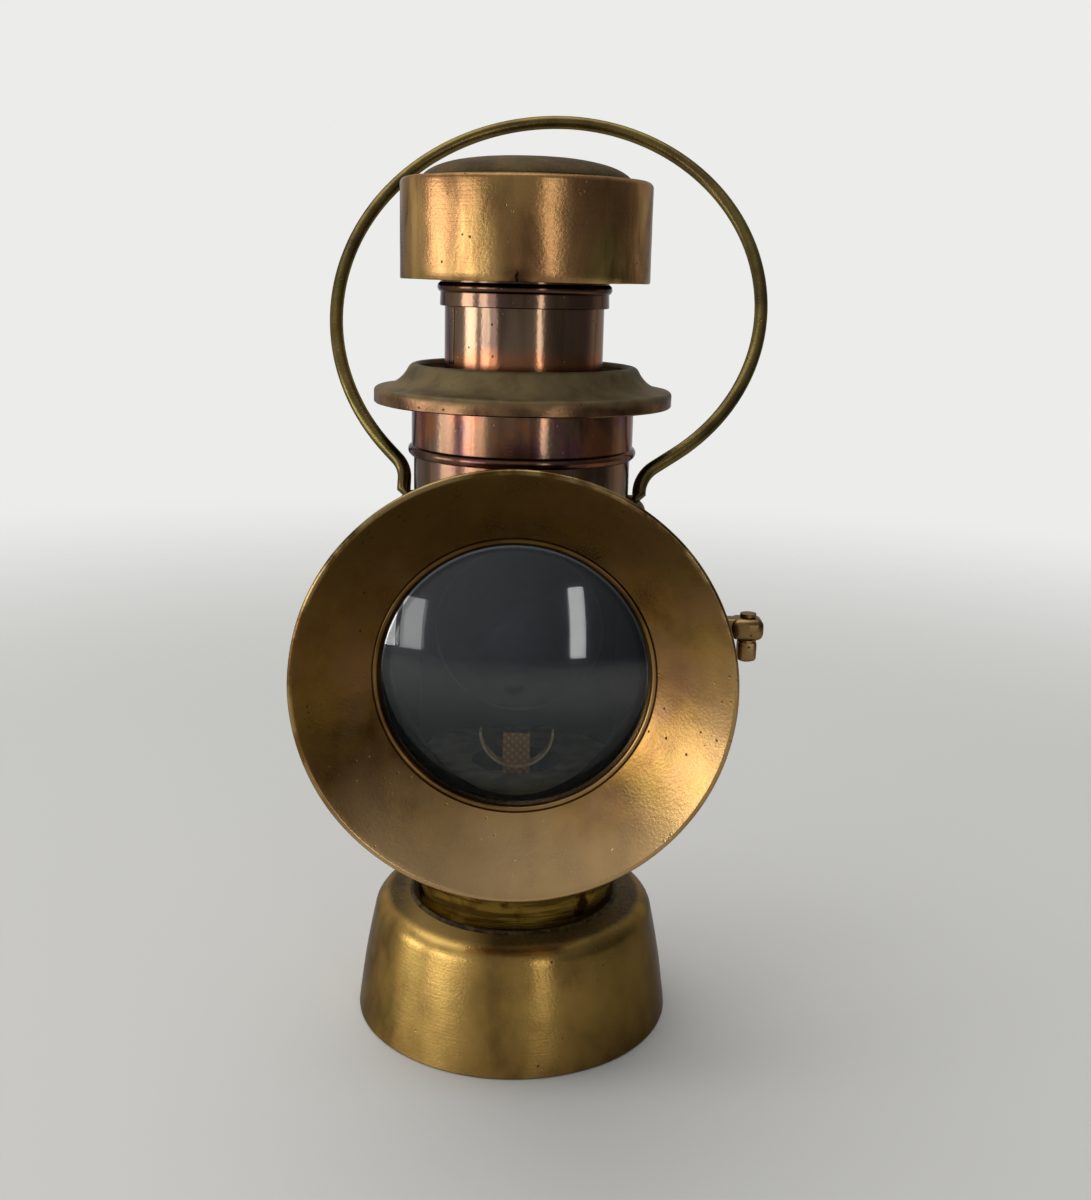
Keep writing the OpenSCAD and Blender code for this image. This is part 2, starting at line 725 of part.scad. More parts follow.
module hood() color("#8f6c38") about_lens() {
    solder_f = ring_front + hood_wall + hood_back[1] + (ring_out - hood_foot - hood_back[0]) * hood_rise;
    rotate_extrude() polygon([
        [hood_foot, ring_front], [hood_foot, ring_front + hood_wall], hem_c,
        hem_c + hood_back, [ring_out, solder_f], [ring_out, ring_front]
    ]);
    rotate_extrude() translate(hem_c) circle(r = hem_r);
}

module lens() color("#22303a", 0.55) about_lens() intersection() {
    difference() {
        translate([0, 0, lens_c]) sphere(r = lens_front_r);
        translate([0, 0, lens_c]) sphere(r = lens_back_r);
    }
    cylinder(r = lens_out, h = hood_front);
}

module lens_retainer() color("#6d5630") about_lens() rotate_extrude() intersection() {
    translate([ring_in - retainer_w, retainer_back]) square([retainer_w, ring_h]);
    translate([0, lens_c]) circle(r = lens_back_r, $fn = arc_fn);
}

module catch_lug() color("#7c5d31") difference() {
    union() {
        translate([catch_x, -catch_f, lug_z]) cylinder(r = lug_r, h = lug_h);
        translate([bezel_in - lug_h, -catch_f - lug_t / 2, lug_z])
            cube([catch_x - bezel_in + lug_h, lug_t, lug_h]);
    }
    about_lens() cylinder(r = ring_out, h = ring_front);
    translate([catch_x, -catch_f, lug_z - past]) cylinder(r = stem_r + pin_fit, h = lug_h + 2 * past);
}

module catch_stem() color("#9a7d40") {
    head_z = lug_z + lug_h + run_gap;
    translate([catch_x, -catch_f, thumb_z + chamfer]) cylinder(r = stem_r, h = head_z - thumb_z - chamfer);
    translate([catch_x, -catch_f, head_z]) cylinder(r = stem_head_r, h = stem_head_h);
}

module catch_tongue() color("#8a6a38") translate([catch_x, -catch_f, tongue_z]) difference() {
    union() {
        cylinder(r = tongue_w / 2 + tongue_hub, h = catch_tongue_t);
        translate([-tongue_w / 2, 0, 0]) cube([tongue_w, tongue_reach - tongue_w / 2, catch_tongue_t]);
        translate([0, tongue_reach - tongue_w / 2, 0]) cylinder(r = tongue_w / 2, h = catch_tongue_t);
    }
    translate([0, 0, -past]) cylinder(r = stem_r, h = catch_tongue_t + 2 * past);
}

module catch_knob() color("#96703f") translate([catch_x, -catch_f, thumb_z]) difference() {
    intersection() {
        translate([-thumb_w / 2, -thumb_w / 2, 0]) cube([thumb_w, thumb_w, thumb_h]);
        cylinder(r1 = thumb_w / 2, r2 = thumb_w / 2 + thumb_h, h = thumb_h);
    }
    translate([0, 0, chamfer]) cylinder(r = stem_r, h = thumb_h);
}

module cowl_sleeve() color("#7c4f3f") rotate_extrude() {
    translate([sleeve_in, sleeve_z]) square([sleeve_wall, sleeve_h]);
    intersection() {
        translate([sleeve_in, sleeve_z]) square([brim_r, sleeve_h]);
        translate([sleeve_in, sleeve_z + sleeve_bead_r]) circle(r = sleeve_bead_r);
    }
}

// Section of the brim down to its lower edge, moved inwards by inset
module brim_outline(inset) {
    difference() {
        translate([0, brim_z - past * inset]) square([brim_crease, brim_top - brim_z]);
        translate(brim_curve_c) circle(r = brim_curve_r + inset);
    }
    if (inset == 0) {
        translate([0, brim_z]) square([brim_r, brim_edge_h - brim_wall]);
        translate([brim_crease, brim_z + brim_edge_h - brim_wall]) circle(r = brim_wall);
    }
}

module brim() color("#72603c") rotate_extrude() difference() {
    union() {
        difference() {
            brim_outline(0);
            brim_outline(brim_wall);
        }
        translate([sleeve_out, brim_z + skirt_set]) square([brim_wall, brim_top - brim_z - skirt_set]);
    }
    square([sleeve_out, cap_top]);
}

module stack_spider() color("#6b4636") {
    ring(stack_r + strut_ring_w, stack_r, spider_z, spider_z + strut_ring_h);
    difference() {
        arms(stack_r + strut_ring_w / 2, sleeve_out, spider_z);
        ring(2 * case_r, sleeve_in, spider_z - past, spider_z + strut_t + past);
    }
}

module stack_tube() color("#8a5a44") ring(stack_r, stack_r - stack_wall, stack_z, stack_top);

module stack_collar() color("#84553c") rotate_extrude() {
    translate([stack_r, collar_z]) square([collar_wall, collar_h]);
    intersection() {
        translate([stack_r, collar_z]) square([cap_r, collar_h]);
        translate([collar_r - bead_sink, collar_z + collar_bead_z]) circle(r = collar_bead_r);
    }
}

module cap_struts() color("#7a5a35") {
    ring(collar_r + strut_ring_w, collar_r, cap_strut_z, cap_strut_z + strut_ring_h);
    difference() {
        arms(collar_r + strut_ring_w / 2, cap_r, cap_strut_z);
        ring(2 * cap_r, cap_r - cap_wall, cap_strut_z - past, cap_strut_z + strut_t + past);
    }
}

module cap_baffle() color("#7a5a35") {
    translate([0, 0, baffle_z]) cylinder(r = baffle_r, h = cap_wall);
    for (i = [0 : struts - 1]) rotate(strut_turn + i * 360 / struts)
        translate([baffle_r - leg_set, -strut_w / 2, cap_strut_z + strut_t])
            cube([strut_t, strut_w, baffle_z - cap_strut_z - strut_t + cap_wall / 2]);
}

// Section of the cap's drum, moved inwards by inset
module cap_outline(inset) {
    c = [cap_r - cap_round, cap_top - cap_round];
    translate([0, cap_z - past * inset]) square([cap_r - inset, cap_h - cap_round + past * inset]);
    translate([0, cap_z]) square([cap_r - cap_round, cap_h - inset]);
    translate(c) circle(r = cap_round - inset);
}

module cap_drum() color("#93692f") rotate_extrude() difference() {
    cap_outline(0);
    cap_outline(cap_wall);
    translate([0, cap_z]) square([dome_foot_r, 2 * cap_h]);
}

// Section of the dome, moved inwards by inset
module dome_outline(inset) {
    translate([0, cap_top]) square([dome_r - inset, dome_edge]);
    intersection() {
        translate([0, cap_top]) square([dome_r - inset, 2 * dome_h]);
        translate([0, dome_top - dome_sphere_r]) circle(r = dome_sphere_r - inset, $fn = arc_fn);
    }
}

module cap_dome() color("#6e5c36") rotate_extrude() difference() {
    dome_outline(0);
    dome_outline(cap_wall);
}

// A joint of the wire, a hair over its diameter
module wire_joint(x, z) {
    translate([x, 0, z]) sphere(r = wire_d / 2 + joint_swell);
}

// A bend of the wire about the point x, z, from angle a0 through turn
module wire_bend(x, z, r, a0, turn) {
    translate([x, 0, z]) rotate([90, 0, 0]) rotate([0, 0, a0])
        rotate_extrude(angle = turn) translate([r, 0]) circle(d = wire_d);
}

// One half of the bail on the +X side, with its crown at x = skew
module bail_half(skew, run, bend, straight) {
    across = foot_x + bend - skew;
    up = crown_h - run + bend;
    turn = splay(across, up, straight);
    sweep_r = half_sum(across, up, straight) - bend;
    bend_end = [foot_x + bend * (1 - cos(turn)), run + bend * sin(turn)];
    sweep_c = [skew, crown_h - sweep_r];
    wire_joint(foot_x, run);
    wire_bend(foot_x + bend, run, bend, 180 - turn, turn);
    wire_joint(bend_end[0], bend_end[1]);
    translate([bend_end[0], 0, bend_end[1]]) rotate([0, turn, 0]) cylinder(d = wire_d, h = straight);
    wire_joint(sweep_c[0] + sweep_r * cos(turn), sweep_c[1] - sweep_r * sin(turn));
    wire_bend(sweep_c[0], sweep_c[1], sweep_r, -turn, 90 + turn);
    difference() {
        union() {
            translate([foot_x, 0, 0]) cylinder(d = wire_d, h = run);
            rod_x(eye_r, boss_x + run_gap, boss_x + run_gap + tongue_t, 0, 0);
        }
        translate([boss_x + run_gap + tongue_t, -eye_r, -eye_r])
            cube([wire_d, 2 * eye_r, eye_r + tongue_step]);
        rod_x(eye_bore_r, boss_x, head_x, 0, 0);
    }
}

module bail() color("#84703a") translate([0, 0, pivot_z]) rotate([-bail_lean, 0, 0]) {
    bail_half(bail_skew, foot_run_right, foot_bend_right, straight_right);
    mirror([1, 0, 0]) bail_half(-bail_skew, foot_run_left, foot_bend_left, straight_left);
    wire_joint(bail_skew, crown_h);
}

font_shell();
font_bottom();
font_neck();
burner_collar();
burner_drum();
wick_tube();
burner_saddle();
wick();
winder_spindle();
winder_wheels();
winder_knob();
case_tube();
lens_barrel();
case_floor();
reflector();
reflector_clip();
bail_bosses();
bail_rivets();
hinge_leaf_case();
hinge_pin();
catch_strike();
door_ring();
hood();
lens();
lens_retainer();
hinge_leaf_door();
catch_lug();
catch_stem();
catch_tongue();
catch_knob();
cowl_sleeve();
brim();
stack_spider();
stack_tube();
stack_collar();
cap_struts();
cap_baffle();
cap_drum();
cap_dome();
bail();
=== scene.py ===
from math import atan2, cos, hypot, pi, radians, sin, sqrt

import bpy
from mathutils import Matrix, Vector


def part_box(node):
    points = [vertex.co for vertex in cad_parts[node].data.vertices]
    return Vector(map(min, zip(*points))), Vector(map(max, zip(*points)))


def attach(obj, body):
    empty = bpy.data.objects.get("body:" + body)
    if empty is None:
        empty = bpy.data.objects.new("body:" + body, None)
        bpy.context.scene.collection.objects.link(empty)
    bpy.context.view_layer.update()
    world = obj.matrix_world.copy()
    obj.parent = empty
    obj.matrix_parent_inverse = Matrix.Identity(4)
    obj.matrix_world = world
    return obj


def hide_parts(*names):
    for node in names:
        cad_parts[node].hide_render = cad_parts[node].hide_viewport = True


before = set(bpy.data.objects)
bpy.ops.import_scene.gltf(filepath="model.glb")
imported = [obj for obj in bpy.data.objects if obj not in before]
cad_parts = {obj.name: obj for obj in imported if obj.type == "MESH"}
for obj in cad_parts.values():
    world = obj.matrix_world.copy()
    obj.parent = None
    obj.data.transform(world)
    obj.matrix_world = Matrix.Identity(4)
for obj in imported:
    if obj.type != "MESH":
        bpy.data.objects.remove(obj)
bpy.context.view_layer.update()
mm = 0.001

# The font: a cone of sheet brass, spun over a former and drawn in to a rounded shoulder.
# Its foot is turned under, and the skin is brown with golden patches where hands have worn it; a highlight
# is painted golden at its left, and shade is painted brown over its right.


class Level:
    """What a node gives. Arithmetic on it adds Math nodes."""

    def __init__(self, shading, socket):
        self.shading = shading
        self.socket = socket

    def work(self, operation, first, second):
        return self.shading.node("Math", {"operation": operation}, {0: first, 1: second})

    def __add__(self, other):
        return self.work("ADD", self, other)

    def __sub__(self, other):
        return self.work("SUBTRACT", self, other)

    def __rsub__(self, other):
        return self.work("SUBTRACT", other, self)

    def __mul__(self, other):
        return self.work("MULTIPLY", self, other)

    __radd__ = __add__
    __rmul__ = __mul__


class Shading:
    """A node tree that is filled by a few words of its own."""

    def __init__(self, tree):
        self.tree = tree

    def node(self, kind, settings=None, sockets=None, output=0):
        made = self.tree.nodes.new("ShaderNode" + kind)
        for name, value in (settings or {}).items():
            setattr(made, name, value)
        for name, value in (sockets or {}).items():
            self.plug(made.inputs[name], value)
        return Level(self, made.outputs[output])

    def plug(self, socket, value):
        if isinstance(value, Level):
            self.tree.links.new(value.socket, socket)
        else:
            socket.default_value = value

    def place(self):
        return self.node("TexCoord", output="Object")

    def across(self, axis):
        return self.node("SeparateXYZ", None, {0: self.place()}, output=axis)

    def length(self, sideways, onwards):
        """The distance that two steps at right angles make together."""
        return self.node("Math", {"operation": "SQRT"}, {0: sideways * sideways + onwards * onwards})

    def radius(self):
        """Distance from the upright axis of the lamp."""
        return self.length(self.across("X"), self.across("Y"))

    def cloud(self, per_metre, detail=3.0, stretch=(1, 1, 1), distortion=0.0):
        spot = self.node("Mapping", None, {"Vector": self.place(), "Scale": stretch})
        wanted = {"Vector": spot, "Scale": per_metre, "Detail": detail, "Distortion": distortion}
        return self.node("TexNoise", None, wanted, output="Fac")

    def cells(self, per_metre):
        wanted = {"Vector": self.place(), "Scale": per_metre}
        return self.node("TexVoronoi", None, wanted, output="Distance")

    def rise(self, level, low, high):
        """0 where level is at low, 1 where it is at high, and smooth between."""
        wanted = {"Value": level, "From Min": low, "From Max": high}
        return self.node("MapRange", {"interpolation_type": "SMOOTHSTEP"}, wanted)

    def mix(self, share, first, second):
        return self.node("Mix", {"data_type": "RGBA"}, {0: share, 6: first, 7: second}, output=2)

    def bump(self, height, depth, strength=1.0):
        return self.node("Bump", None, {"Height": height, "Distance": depth, "Strength": strength})


def paint(hex_code):
    """A colour as it is seen on a screen, made linear for the shader."""
    seen = [int(hex_code[i:i + 2], 16) / 255 for i in (0, 2, 4)]
    return [v / 12.92 if v < 0.04045 else ((v + 0.055) / 1.055) ** 2.4 for v in seen] + [1.0]


def finish(name, wanted):
    """A material made by wanted, which gets its shading and returns the shader's sockets."""
    material = bpy.data.materials.new(name)
    material.use_nodes = True
    shading = Shading(material.node_tree)
    shader = material.node_tree.nodes["Principled BSDF"]
    for socket, value in wanted(shading).items():
        shading.plug(shader.inputs[socket], value)
    return material


# Tarnish keeps the sides of a round from shining where it turns away.
tarnished = {"Specular Tint": paint("b6babf")}


def worn_brass(s, gold, brown, dark, rough=0.3, golden=0.5, green=0.25, dust=None, dust_tone=None,
               upright=1.0, rings=0.0):
    """Brass browned in patches, with pits and dust. A low upright draws the patches tall."""
    patches = s.cloud(24, 4, (1, 1, upright), 0.6)
    smears = s.cloud(90, 5, (1, 1, upright))
    grain = s.cloud(900, 2)
    pits = 1 - s.rise(s.cells(260), 0.02, 0.16)
    specks = pits * s.rise(s.cloud(60, 2), 0.5, 0.62)
    shown = s.rise(patches * 0.6 + smears * 0.4, 0.5 - golden * 0.3, 0.86 - golden * 0.3)
    colour = s.mix(s.rise(smears, 0.3, 0.65), dark, brown)
    colour = s.mix(shown, colour, gold)
    colour = s.mix(s.rise(s.cloud(38, 3, distortion=1.2), 0.52, 0.72) * green, colour, paint("6f7432"))
    colour = s.mix(specks * 0.8, colour, paint("2a1b0c"))
    roughness = rough + 0.14 * (smears - 0.5) + 0.1 * (grain - 0.5) + 0.3 * specks
    sockets = {"Metallic": 1.0, **tarnished}
    if dust is not None:
        sockets["Specular IOR Level"] = 0.15
        cover = dust * (0.8 + 0.4 * (grain - 0.5))
        thin = [0.6 * v for v in dust_tone[:3]] + [1.0]
        colour = s.mix(cover, colour, s.mix(s.rise(s.cloud(130, 5), 0.32, 0.62), thin, dust_tone))
        roughness = roughness + 0.42 * cover
        sockets["Metallic"] = 1 - 0.75 * cover
    height = 0.3 * grain - 0.9 * specks + 2.2 * s.cloud(36, 2)
    if rings:
        height = height + rings * s.cloud(420, 3, (0.12, 0.12, 2.5))
    sockets.update({"Base Color": colour, "Roughness": roughness, "Normal": s.bump(height, 0.00022)})
    return sockets


def fresh():
    """Deselects all, so that the next operator acts on its own piece alone."""
    if bpy.context.object and bpy.context.object.mode != "OBJECT":
        bpy.ops.object.mode_set(mode="OBJECT")
    bpy.ops.object.select_all(action="DESELECT")


def spin_sheet(name, rings, segments=160, outwards=True):
    """A sheet that starts as a circle and is drawn out ring by ring: each has a radius and a height."""
    fresh()
    radius, height = rings[0]
    bpy.ops.mesh.primitive_circle_add(vertices=segments, radius=radius)
    sheet = bpy.context.object
    sheet.name = name
    bpy.ops.object.mode_set(mode="EDIT")
    bpy.ops.mesh.select_all(action="SELECT")
    bpy.ops.transform.translate(value=(0, 0, height))
    for next_radius, next_height in rings[1:]:
        bpy.ops.mesh.extrude_region_move(TRANSFORM_OT_translate={"value": (0, 0, next_height - height)})
        wider = next_radius / radius
        bpy.ops.transform.resize(value=(wider, wider, 1), center_override=(0, 0, 0))
        radius, height = next_radius, next_height
    bpy.ops.mesh.select_all(action="SELECT")
    bpy.ops.mesh.normals_make_consistent(inside=False)
    bpy.ops.object.mode_set(mode="OBJECT")
    away = sum(f.area * (f.normal.x * f.center.x + f.normal.y * f.center.y) for f in sheet.data.polygons)
    if (away > 0) != outwards:
        bpy.ops.object.mode_set(mode="EDIT")
        bpy.ops.mesh.flip_normals()
        bpy.ops.object.mode_set(mode="OBJECT")
    return sheet


def modify(piece, kind, **settings):
    """Adds a modifier to the piece, and applies it."""
    bpy.context.view_layer.objects.active = piece
    bpy.ops.object.modifier_add(type=kind)
    modifier = piece.modifiers[-1]
    for name, value in settings.items():
        setattr(modifier, name, value)
    bpy.ops.object.modifier_apply(modifier=modifier.name)


def dent(piece, size, depth):
    """Leaves the soft unevenness of sheet that was worked by hand. Its two ends stay level."""
    hollows = bpy.data.textures.new(piece.name + "_dents", type="CLOUDS")
    hollows.noise_scale = size
    levels = [corner.co.z for corner in piece.data.vertices]
    lowest, highest = min(levels), max(levels)
    modify(piece, "DISPLACE", texture=hollows, texture_coords="LOCAL", strength=depth, mid_level=0.5)
    for corner in piece.data.vertices:
        corner.co.z = min(max(corner.co.z, lowest), highest)


def wall(piece, thickness):
    """Gives a sheet its thickness, inwards from its outer skin."""
    modify(piece, "SOLIDIFY", thickness=thickness, offset=-1.0, use_even_offset=True)


def smooth(piece, degrees=32):
    fresh()
    piece.select_set(True)
    bpy.context.view_layer.objects.active = piece
    bpy.ops.object.shade_smooth_by_angle(angle=radians(degrees))


def place_on_axis(piece, turn, spot):
    """Turns the piece, moves it, and puts its place into its mesh."""
    fresh()
    piece.select_set(True)
    bpy.context.view_layer.objects.active = piece
    piece.rotation_euler = turn
    piece.location = spot
    bpy.ops.object.transform_apply(location=True, rotation=True, scale=True)


def arc(centre, radius, start, end, steps):
    """Points on a round stretch of an outline, from one angle to another in degrees."""
    turns = [radians(start + (end - start) * i / steps) for i in range(steps + 1)]
    return [(centre[0] + radius * cos(t), centre[1] + radius * sin(t)) for t in turns]


def line(start, end, steps):
    """Points on a straight stretch of an outline, without its two ends."""
    shares = [i / steps for i in range(1, steps)]
    return [(start[0] + (end[0] - start[0]) * k, start[1] + (end[1] - start[1]) * k) for k in shares]


def finish_piece(piece, material, body, slot, *nodes):
    """Gives a new piece its material, and has it ride on its body and stand for its nodes."""
    piece.data.materials.clear()
    piece.data.materials.append(material)
    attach(piece, body)
    if nodes:
        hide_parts(*nodes)


def coat(material, *nodes):
    """Gives CAD nodes their material."""
    for name in nodes:
        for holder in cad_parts[name].material_slots:
            holder.material = material


# Spinning leaves fine rings in the skin, which draw each highlight tall.
drawn_round = {"Anisotropic": 0.7, "Anisotropic Rotation": 0.25}

font_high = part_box("font_shell")[1]
foot_r = font_high.x
font_top = font_high.z
sheet_t = 1.0 * mm
shoulder_r = 57.6 * mm
shoulder_round = 8 * mm
collar_lip = 2.4 * mm
filler_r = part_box("burner_collar")[1].x - collar_lip
slant = atan2(foot_r - shoulder_r, font_top)
round_c = (
    foot_r - (shoulder_round + (font_top - shoulder_round) * sin(slant)) / cos(slant),
    font_top - shoulder_round,
)
flank_end = (round_c[0] + shoulder_round * cos(slant), round_c[1] + shoulder_round * sin(slant))
turn_in = 1.6 * mm
foot_round = 0.5 * mm
flank_start = (foot_r - 0.1 * mm, foot_round)
turned_under = [(foot_r - turn_in, 0.0), (foot_r - foot_round, 0.0), flank_start]
belly = 0.6 * mm
flank = [(r + belly * sin(pi * z / flank_end[1]), z) for r, z in line(flank_start, flank_end, 14)]
shoulder = arc(round_c, shoulder_round, slant * 180 / pi, 90, 10)
top_disc = line(shoulder[-1], (filler_r, font_top), 8) + [(filler_r, font_top)]
font_body = spin_sheet("font_body", turned_under + flank + shoulder + top_disc)
dent(font_body, 45 * mm, 0.5 * mm)
wall(font_body, sheet_t)
smooth(font_body)


def font_look(s):
    """The shoulder is dark and dull in a ring round the neck. A highlight is painted golden on the left,
    and shade is painted dark brown over the right side.
    """
    near_neck = 1 - s.rise(s.radius() + 2 * mm * s.cloud(60, 3), 52.5 * mm, 56.5 * mm)
    dark_ring_round_neck = near_neck * s.rise(s.across("Z"), 46.2 * mm, 48 * mm)
    worn = worn_brass(s, paint("a68547"), paint("8a6b39"), paint("755a31"), 0.31, 0.55, 0.18,
                      dark_ring_round_neck, paint("2e220a"), 0.7, 0.25)
    x = s.across("X")
    # Painted highlight: the left of the flank is made golden.
    painted_highlight_left = s.rise(0 - x, 4 * mm, 20 * mm) * s.rise(x, -50 * mm, -34 * mm)
    colour = s.mix(painted_highlight_left * 0.4, worn["Base Color"], paint("c9a45c"))
    # Painted shade: the right side is made dark brown.
    painted_shade_right = s.rise(x + 20 * mm * (s.cloud(40, 4) - 0.5), 8 * mm, 50 * mm)
    worn["Base Color"] = s.mix(painted_shade_right * (1 - dark_ring_round_neck) * 0.55, colour, paint("4c3a18"))
    worn.update(drawn_round)
    return worn


finish_piece(font_body, finish("spun_font_brass", font_look), "font", "font_brass", "font_shell")
coat(finish("font_foot_brass", lambda s: worn_brass(
    s, paint("8d7040"), paint("6b5230"), paint("4a3820"), 0.45)), "font_bottom")

# The neck band: a bright ring of drawn brass that the case stands on, soldered to the shoulder.
# It keeps its yellow where the case has covered it, and a thin dark line of solder runs round its foot.


def neck_look(s):
    streaks = s.cloud(40, 4, (1, 1, 9))
    stains = s.rise(s.cloud(55, 4, distortion=1.0), 0.5, 0.66)
    # The band's colours are kept dark throughout, as painted shade under the hood.
    colour = s.mix(s.rise(streaks, 0.4, 0.62), paint("4e3b15"), paint("7c6226"))
    colour = s.mix(stains * 0.75, colour, paint("35220d"))
    colour = s.mix(s.rise(s.cloud(75, 3), 0.6, 0.7), colour, paint("2a1a0a"))
    height = s.cloud(500, 2, (0.2, 0.2, 3))
    return {"Base Color": colour, "Metallic": 1.0, "Roughness": 0.2 + 0.2 * stains,
            "Normal": s.bump(height, 0.00008), **drawn_round, **tarnished}


coat(finish("neck_band_brass", neck_look), "font_neck")
neck_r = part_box("font_neck")[1].x
solder_w = 1.8 * mm
solder_h = 1.17 * mm
solder = [(neck_r + solder_w, font_top - 0.1 * mm)]
solder += arc((neck_r + solder_w, font_top + solder_h), solder_h, 250, 180, 6)
solder += [(neck_r - 0.3 * mm, font_top + solder_h)]
neck_solder = spin_sheet("neck_solder", solder)
wall(neck_solder, 0.3 * mm)
smooth(neck_solder)


def solder_look(s):
    lumps = s.cloud(300, 3)
    colour = s.mix(s.rise(lumps, 0.4, 0.6), paint("241a0c"), paint("463819"))
    return {"Base Color": colour, "Metallic": 0.2, "Roughness": 0.75, "Specular IOR Level": 0.2,
            "Normal": s.bump(lumps, 0.0003)}


finish_piece(neck_solder, finish("dark_solder", solder_look), "font", "font_brass")

# The burner: a pressed brass drum on a threaded flange, with a flat tube for the wick.
# A bright strip is bent to a U over the tube, and heat has browned the rest.


def burner_look(s):
    heat = s.rise(s.across("Z"), 85 * mm, 118 * mm)
    worn = worn_brass(s, paint("d0b06c"), paint("b08c4e"), paint("80643a"), 0.4, 0.5, 0.1)
    worn["Base Color"] = s.mix(heat * 0.5, worn["Base Color"], paint("b0895a"))
    worn["Metallic"] = 0.6
    return worn


def saddle_look(s):
    edge = s.cloud(260, 3)
    colour = s.mix(s.rise(edge, 0.42, 0.6), paint("d8bd78"), paint("f4e2ae"))
    return {"Base Color": colour, "Metallic": 0.1, "Roughness": 0.36 + 0.15 * edge,
            "Normal": s.bump(edge, 0.00012)}


def tube_look(s):
    """The tube's skin is pressed with a lattice of fine ridges."""
    worn = burner_look(s)
    ridges = []
    for lean in (1, -1):
        spot = s.node("Mapping", None, {"Vector": s.place(), "Scale": (lean, 0.3, 1)})
        ridges.append(s.node("TexWave", {"wave_type": "BANDS", "bands_direction": "DIAGONAL"},
                             {"Vector": spot, "Scale": 190.0}, output="Fac"))
    lattice = ridges[0] * ridges[1]
    # These colours are paler than the brass, as painted light on the tube inside the dim case.
    worn["Base Color"] = s.mix(lattice * 0.7, paint("a07636"), paint("f4d08a"))
    worn["Metallic"] = 0.1
    worn["Normal"] = s.bump(lattice, 0.0004)
    return worn


coat(finish("burner_brass_pressed", burner_look),
     "burner_collar", "burner_drum", "winder_spindle", "winder_wheels")
coat(finish("wick_tube_brass", tube_look), "wick_tube")
coat(finish("saddle_strip_brass", saddle_look), "burner_saddle")

# The wick: a flat plait of cotton, three eighths of an inch wide, that climbs in the tube.
# It is charred along its trimmed top edge and cream lower down.

wick_low, wick_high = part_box("wick")
wick_w = wick_high.x - wick_low.x
wick_t = wick_high.y - wick_low.y
fresh()
bpy.ops.mesh.primitive_cube_add(size=1)
wick = bpy.context.object
wick.name = "cotton_wick"
place_on_axis(wick, (0, 0, 0), (wick_low + wick_high) / 2)
bpy.ops.object.mode_set(mode="EDIT")
bpy.ops.mesh.select_all(action="SELECT")
bpy.ops.transform.resize(
    value=(wick_w, wick_t, wick_high.z - wick_low.z), center_override=(wick_low + wick_high) / 2)
bared_z = 115 * mm
bpy.ops.mesh.bisect(plane_co=(0, 0, bared_z), plane_no=(0, 0, 1))
bpy.ops.mesh.select_all(action="SELECT")
bpy.ops.mesh.subdivide(number_cuts=11)
bpy.ops.object.mode_set(mode="OBJECT")
modify(wick, "BEVEL", width=0.25 * mm, segments=2, limit_method="ANGLE")
strands = 7
plait_d = 0.06 * mm
plait_turn = 2400
fray_d = 0.35 * mm
fray_turn = 5200
for corner in wick.data.vertices:
    braid = plait_d * cos(corner.co.x / wick_w * strands * 2 * pi) * cos(corner.co.z * plait_turn)
    corner.co.y += braid * (1 if corner.co.y > 0 else -1)
    if corner.co.z > wick_high.z - 0.4 * mm:
        corner.co.z -= fray_d * (0.5 + 0.5 * sin(corner.co.x * fray_turn))
smooth(wick, 50)


def wick_look(s):
    up = s.across("Z") + 1.2 * mm * s.cloud(700, 2)
    char = s.rise(up, wick_high.z - 2.4 * mm, wick_high.z - 0.2 * mm)
    yarn = s.node("TexWave", {"wave_type": "BANDS", "bands_direction": "DIAGONAL"},
                  {"Vector": s.place(), "Scale": 420.0, "Distortion": 1.5}, output="Fac")
    colour = s.mix(yarn, paint("a38a5e"), paint("d8c59a"))
    colour = s.mix(char, colour, paint("30241a"))
    return {"Base Color": colour, "Roughness": 0.9, "Normal": s.bump(yarn, 0.0003)}


finish_piece(wick, finish("plaited_cotton", wick_look), "wick", "wick_cotton", "wick")

# The winder knob: a turned brass button with a milled rim and a dished face.
# It is pressed on to the end of the spindle, outside the case.

knob_low, knob_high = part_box("winder_knob")
knob_c = (knob_low + knob_high) / 2
knob_r = (knob_high.z - knob_low.z) / 2
knob_h = knob_high.x - knob_low.x
rim_t = 3 * mm
bore_r = 1.2 * mm
shank_r = knob_r * 0.5
rim_back = knob_h - rim_t
rim_round = 0.6 * mm
turned = [(bore_r, 0.0), (knob_r * 0.42, 0.0), (shank_r, 0.5 * mm)]
turned += [(shank_r, rim_back - 0.8 * mm), (knob_r * 0.6, rim_back)]
turned += [(knob_r - 0.9 * mm, rim_back), (knob_r, rim_back + rim_round)]
turned += [(knob_r, knob_h - rim_round), (knob_r - rim_round, knob_h), (knob_r - 1.6 * mm, knob_h)]
turned += [(knob_r - 2.2 * mm, knob_h - 0.5 * mm), (knob_r * 0.35, knob_h - 0.7 * mm)]
turned += [(knob_r * 0.2, knob_h - 0.3 * mm), (0.02 * mm, knob_h - 0.25 * mm)]
knob = spin_sheet("milled_knob", turned, 96)
milled_to = 0.955
for corner in knob.data.vertices:
    if hypot(corner.co.x, corner.co.y) > knob_r - 0.2 * mm and corner.index % 3 == 0:
        corner.co.x *= milled_to
        corner.co.y *= milled_to
place_on_axis(knob, (0, pi / 2, 0), (knob_low.x, knob_c.y, knob_c.z))
bpy.ops.object.mode_set(mode="EDIT")
bpy.ops.mesh.select_all(action="SELECT")
bpy.ops.mesh.remove_doubles(threshold=0.05 * mm)
bpy.ops.mesh.select_all(action="DESELECT")
bpy.ops.mesh.select_non_manifold()
bpy.ops.mesh.edge_face_add()
bpy.ops.mesh.select_all(action="SELECT")
bpy.ops.mesh.normals_make_consistent(inside=False)
smooth(knob, 28)
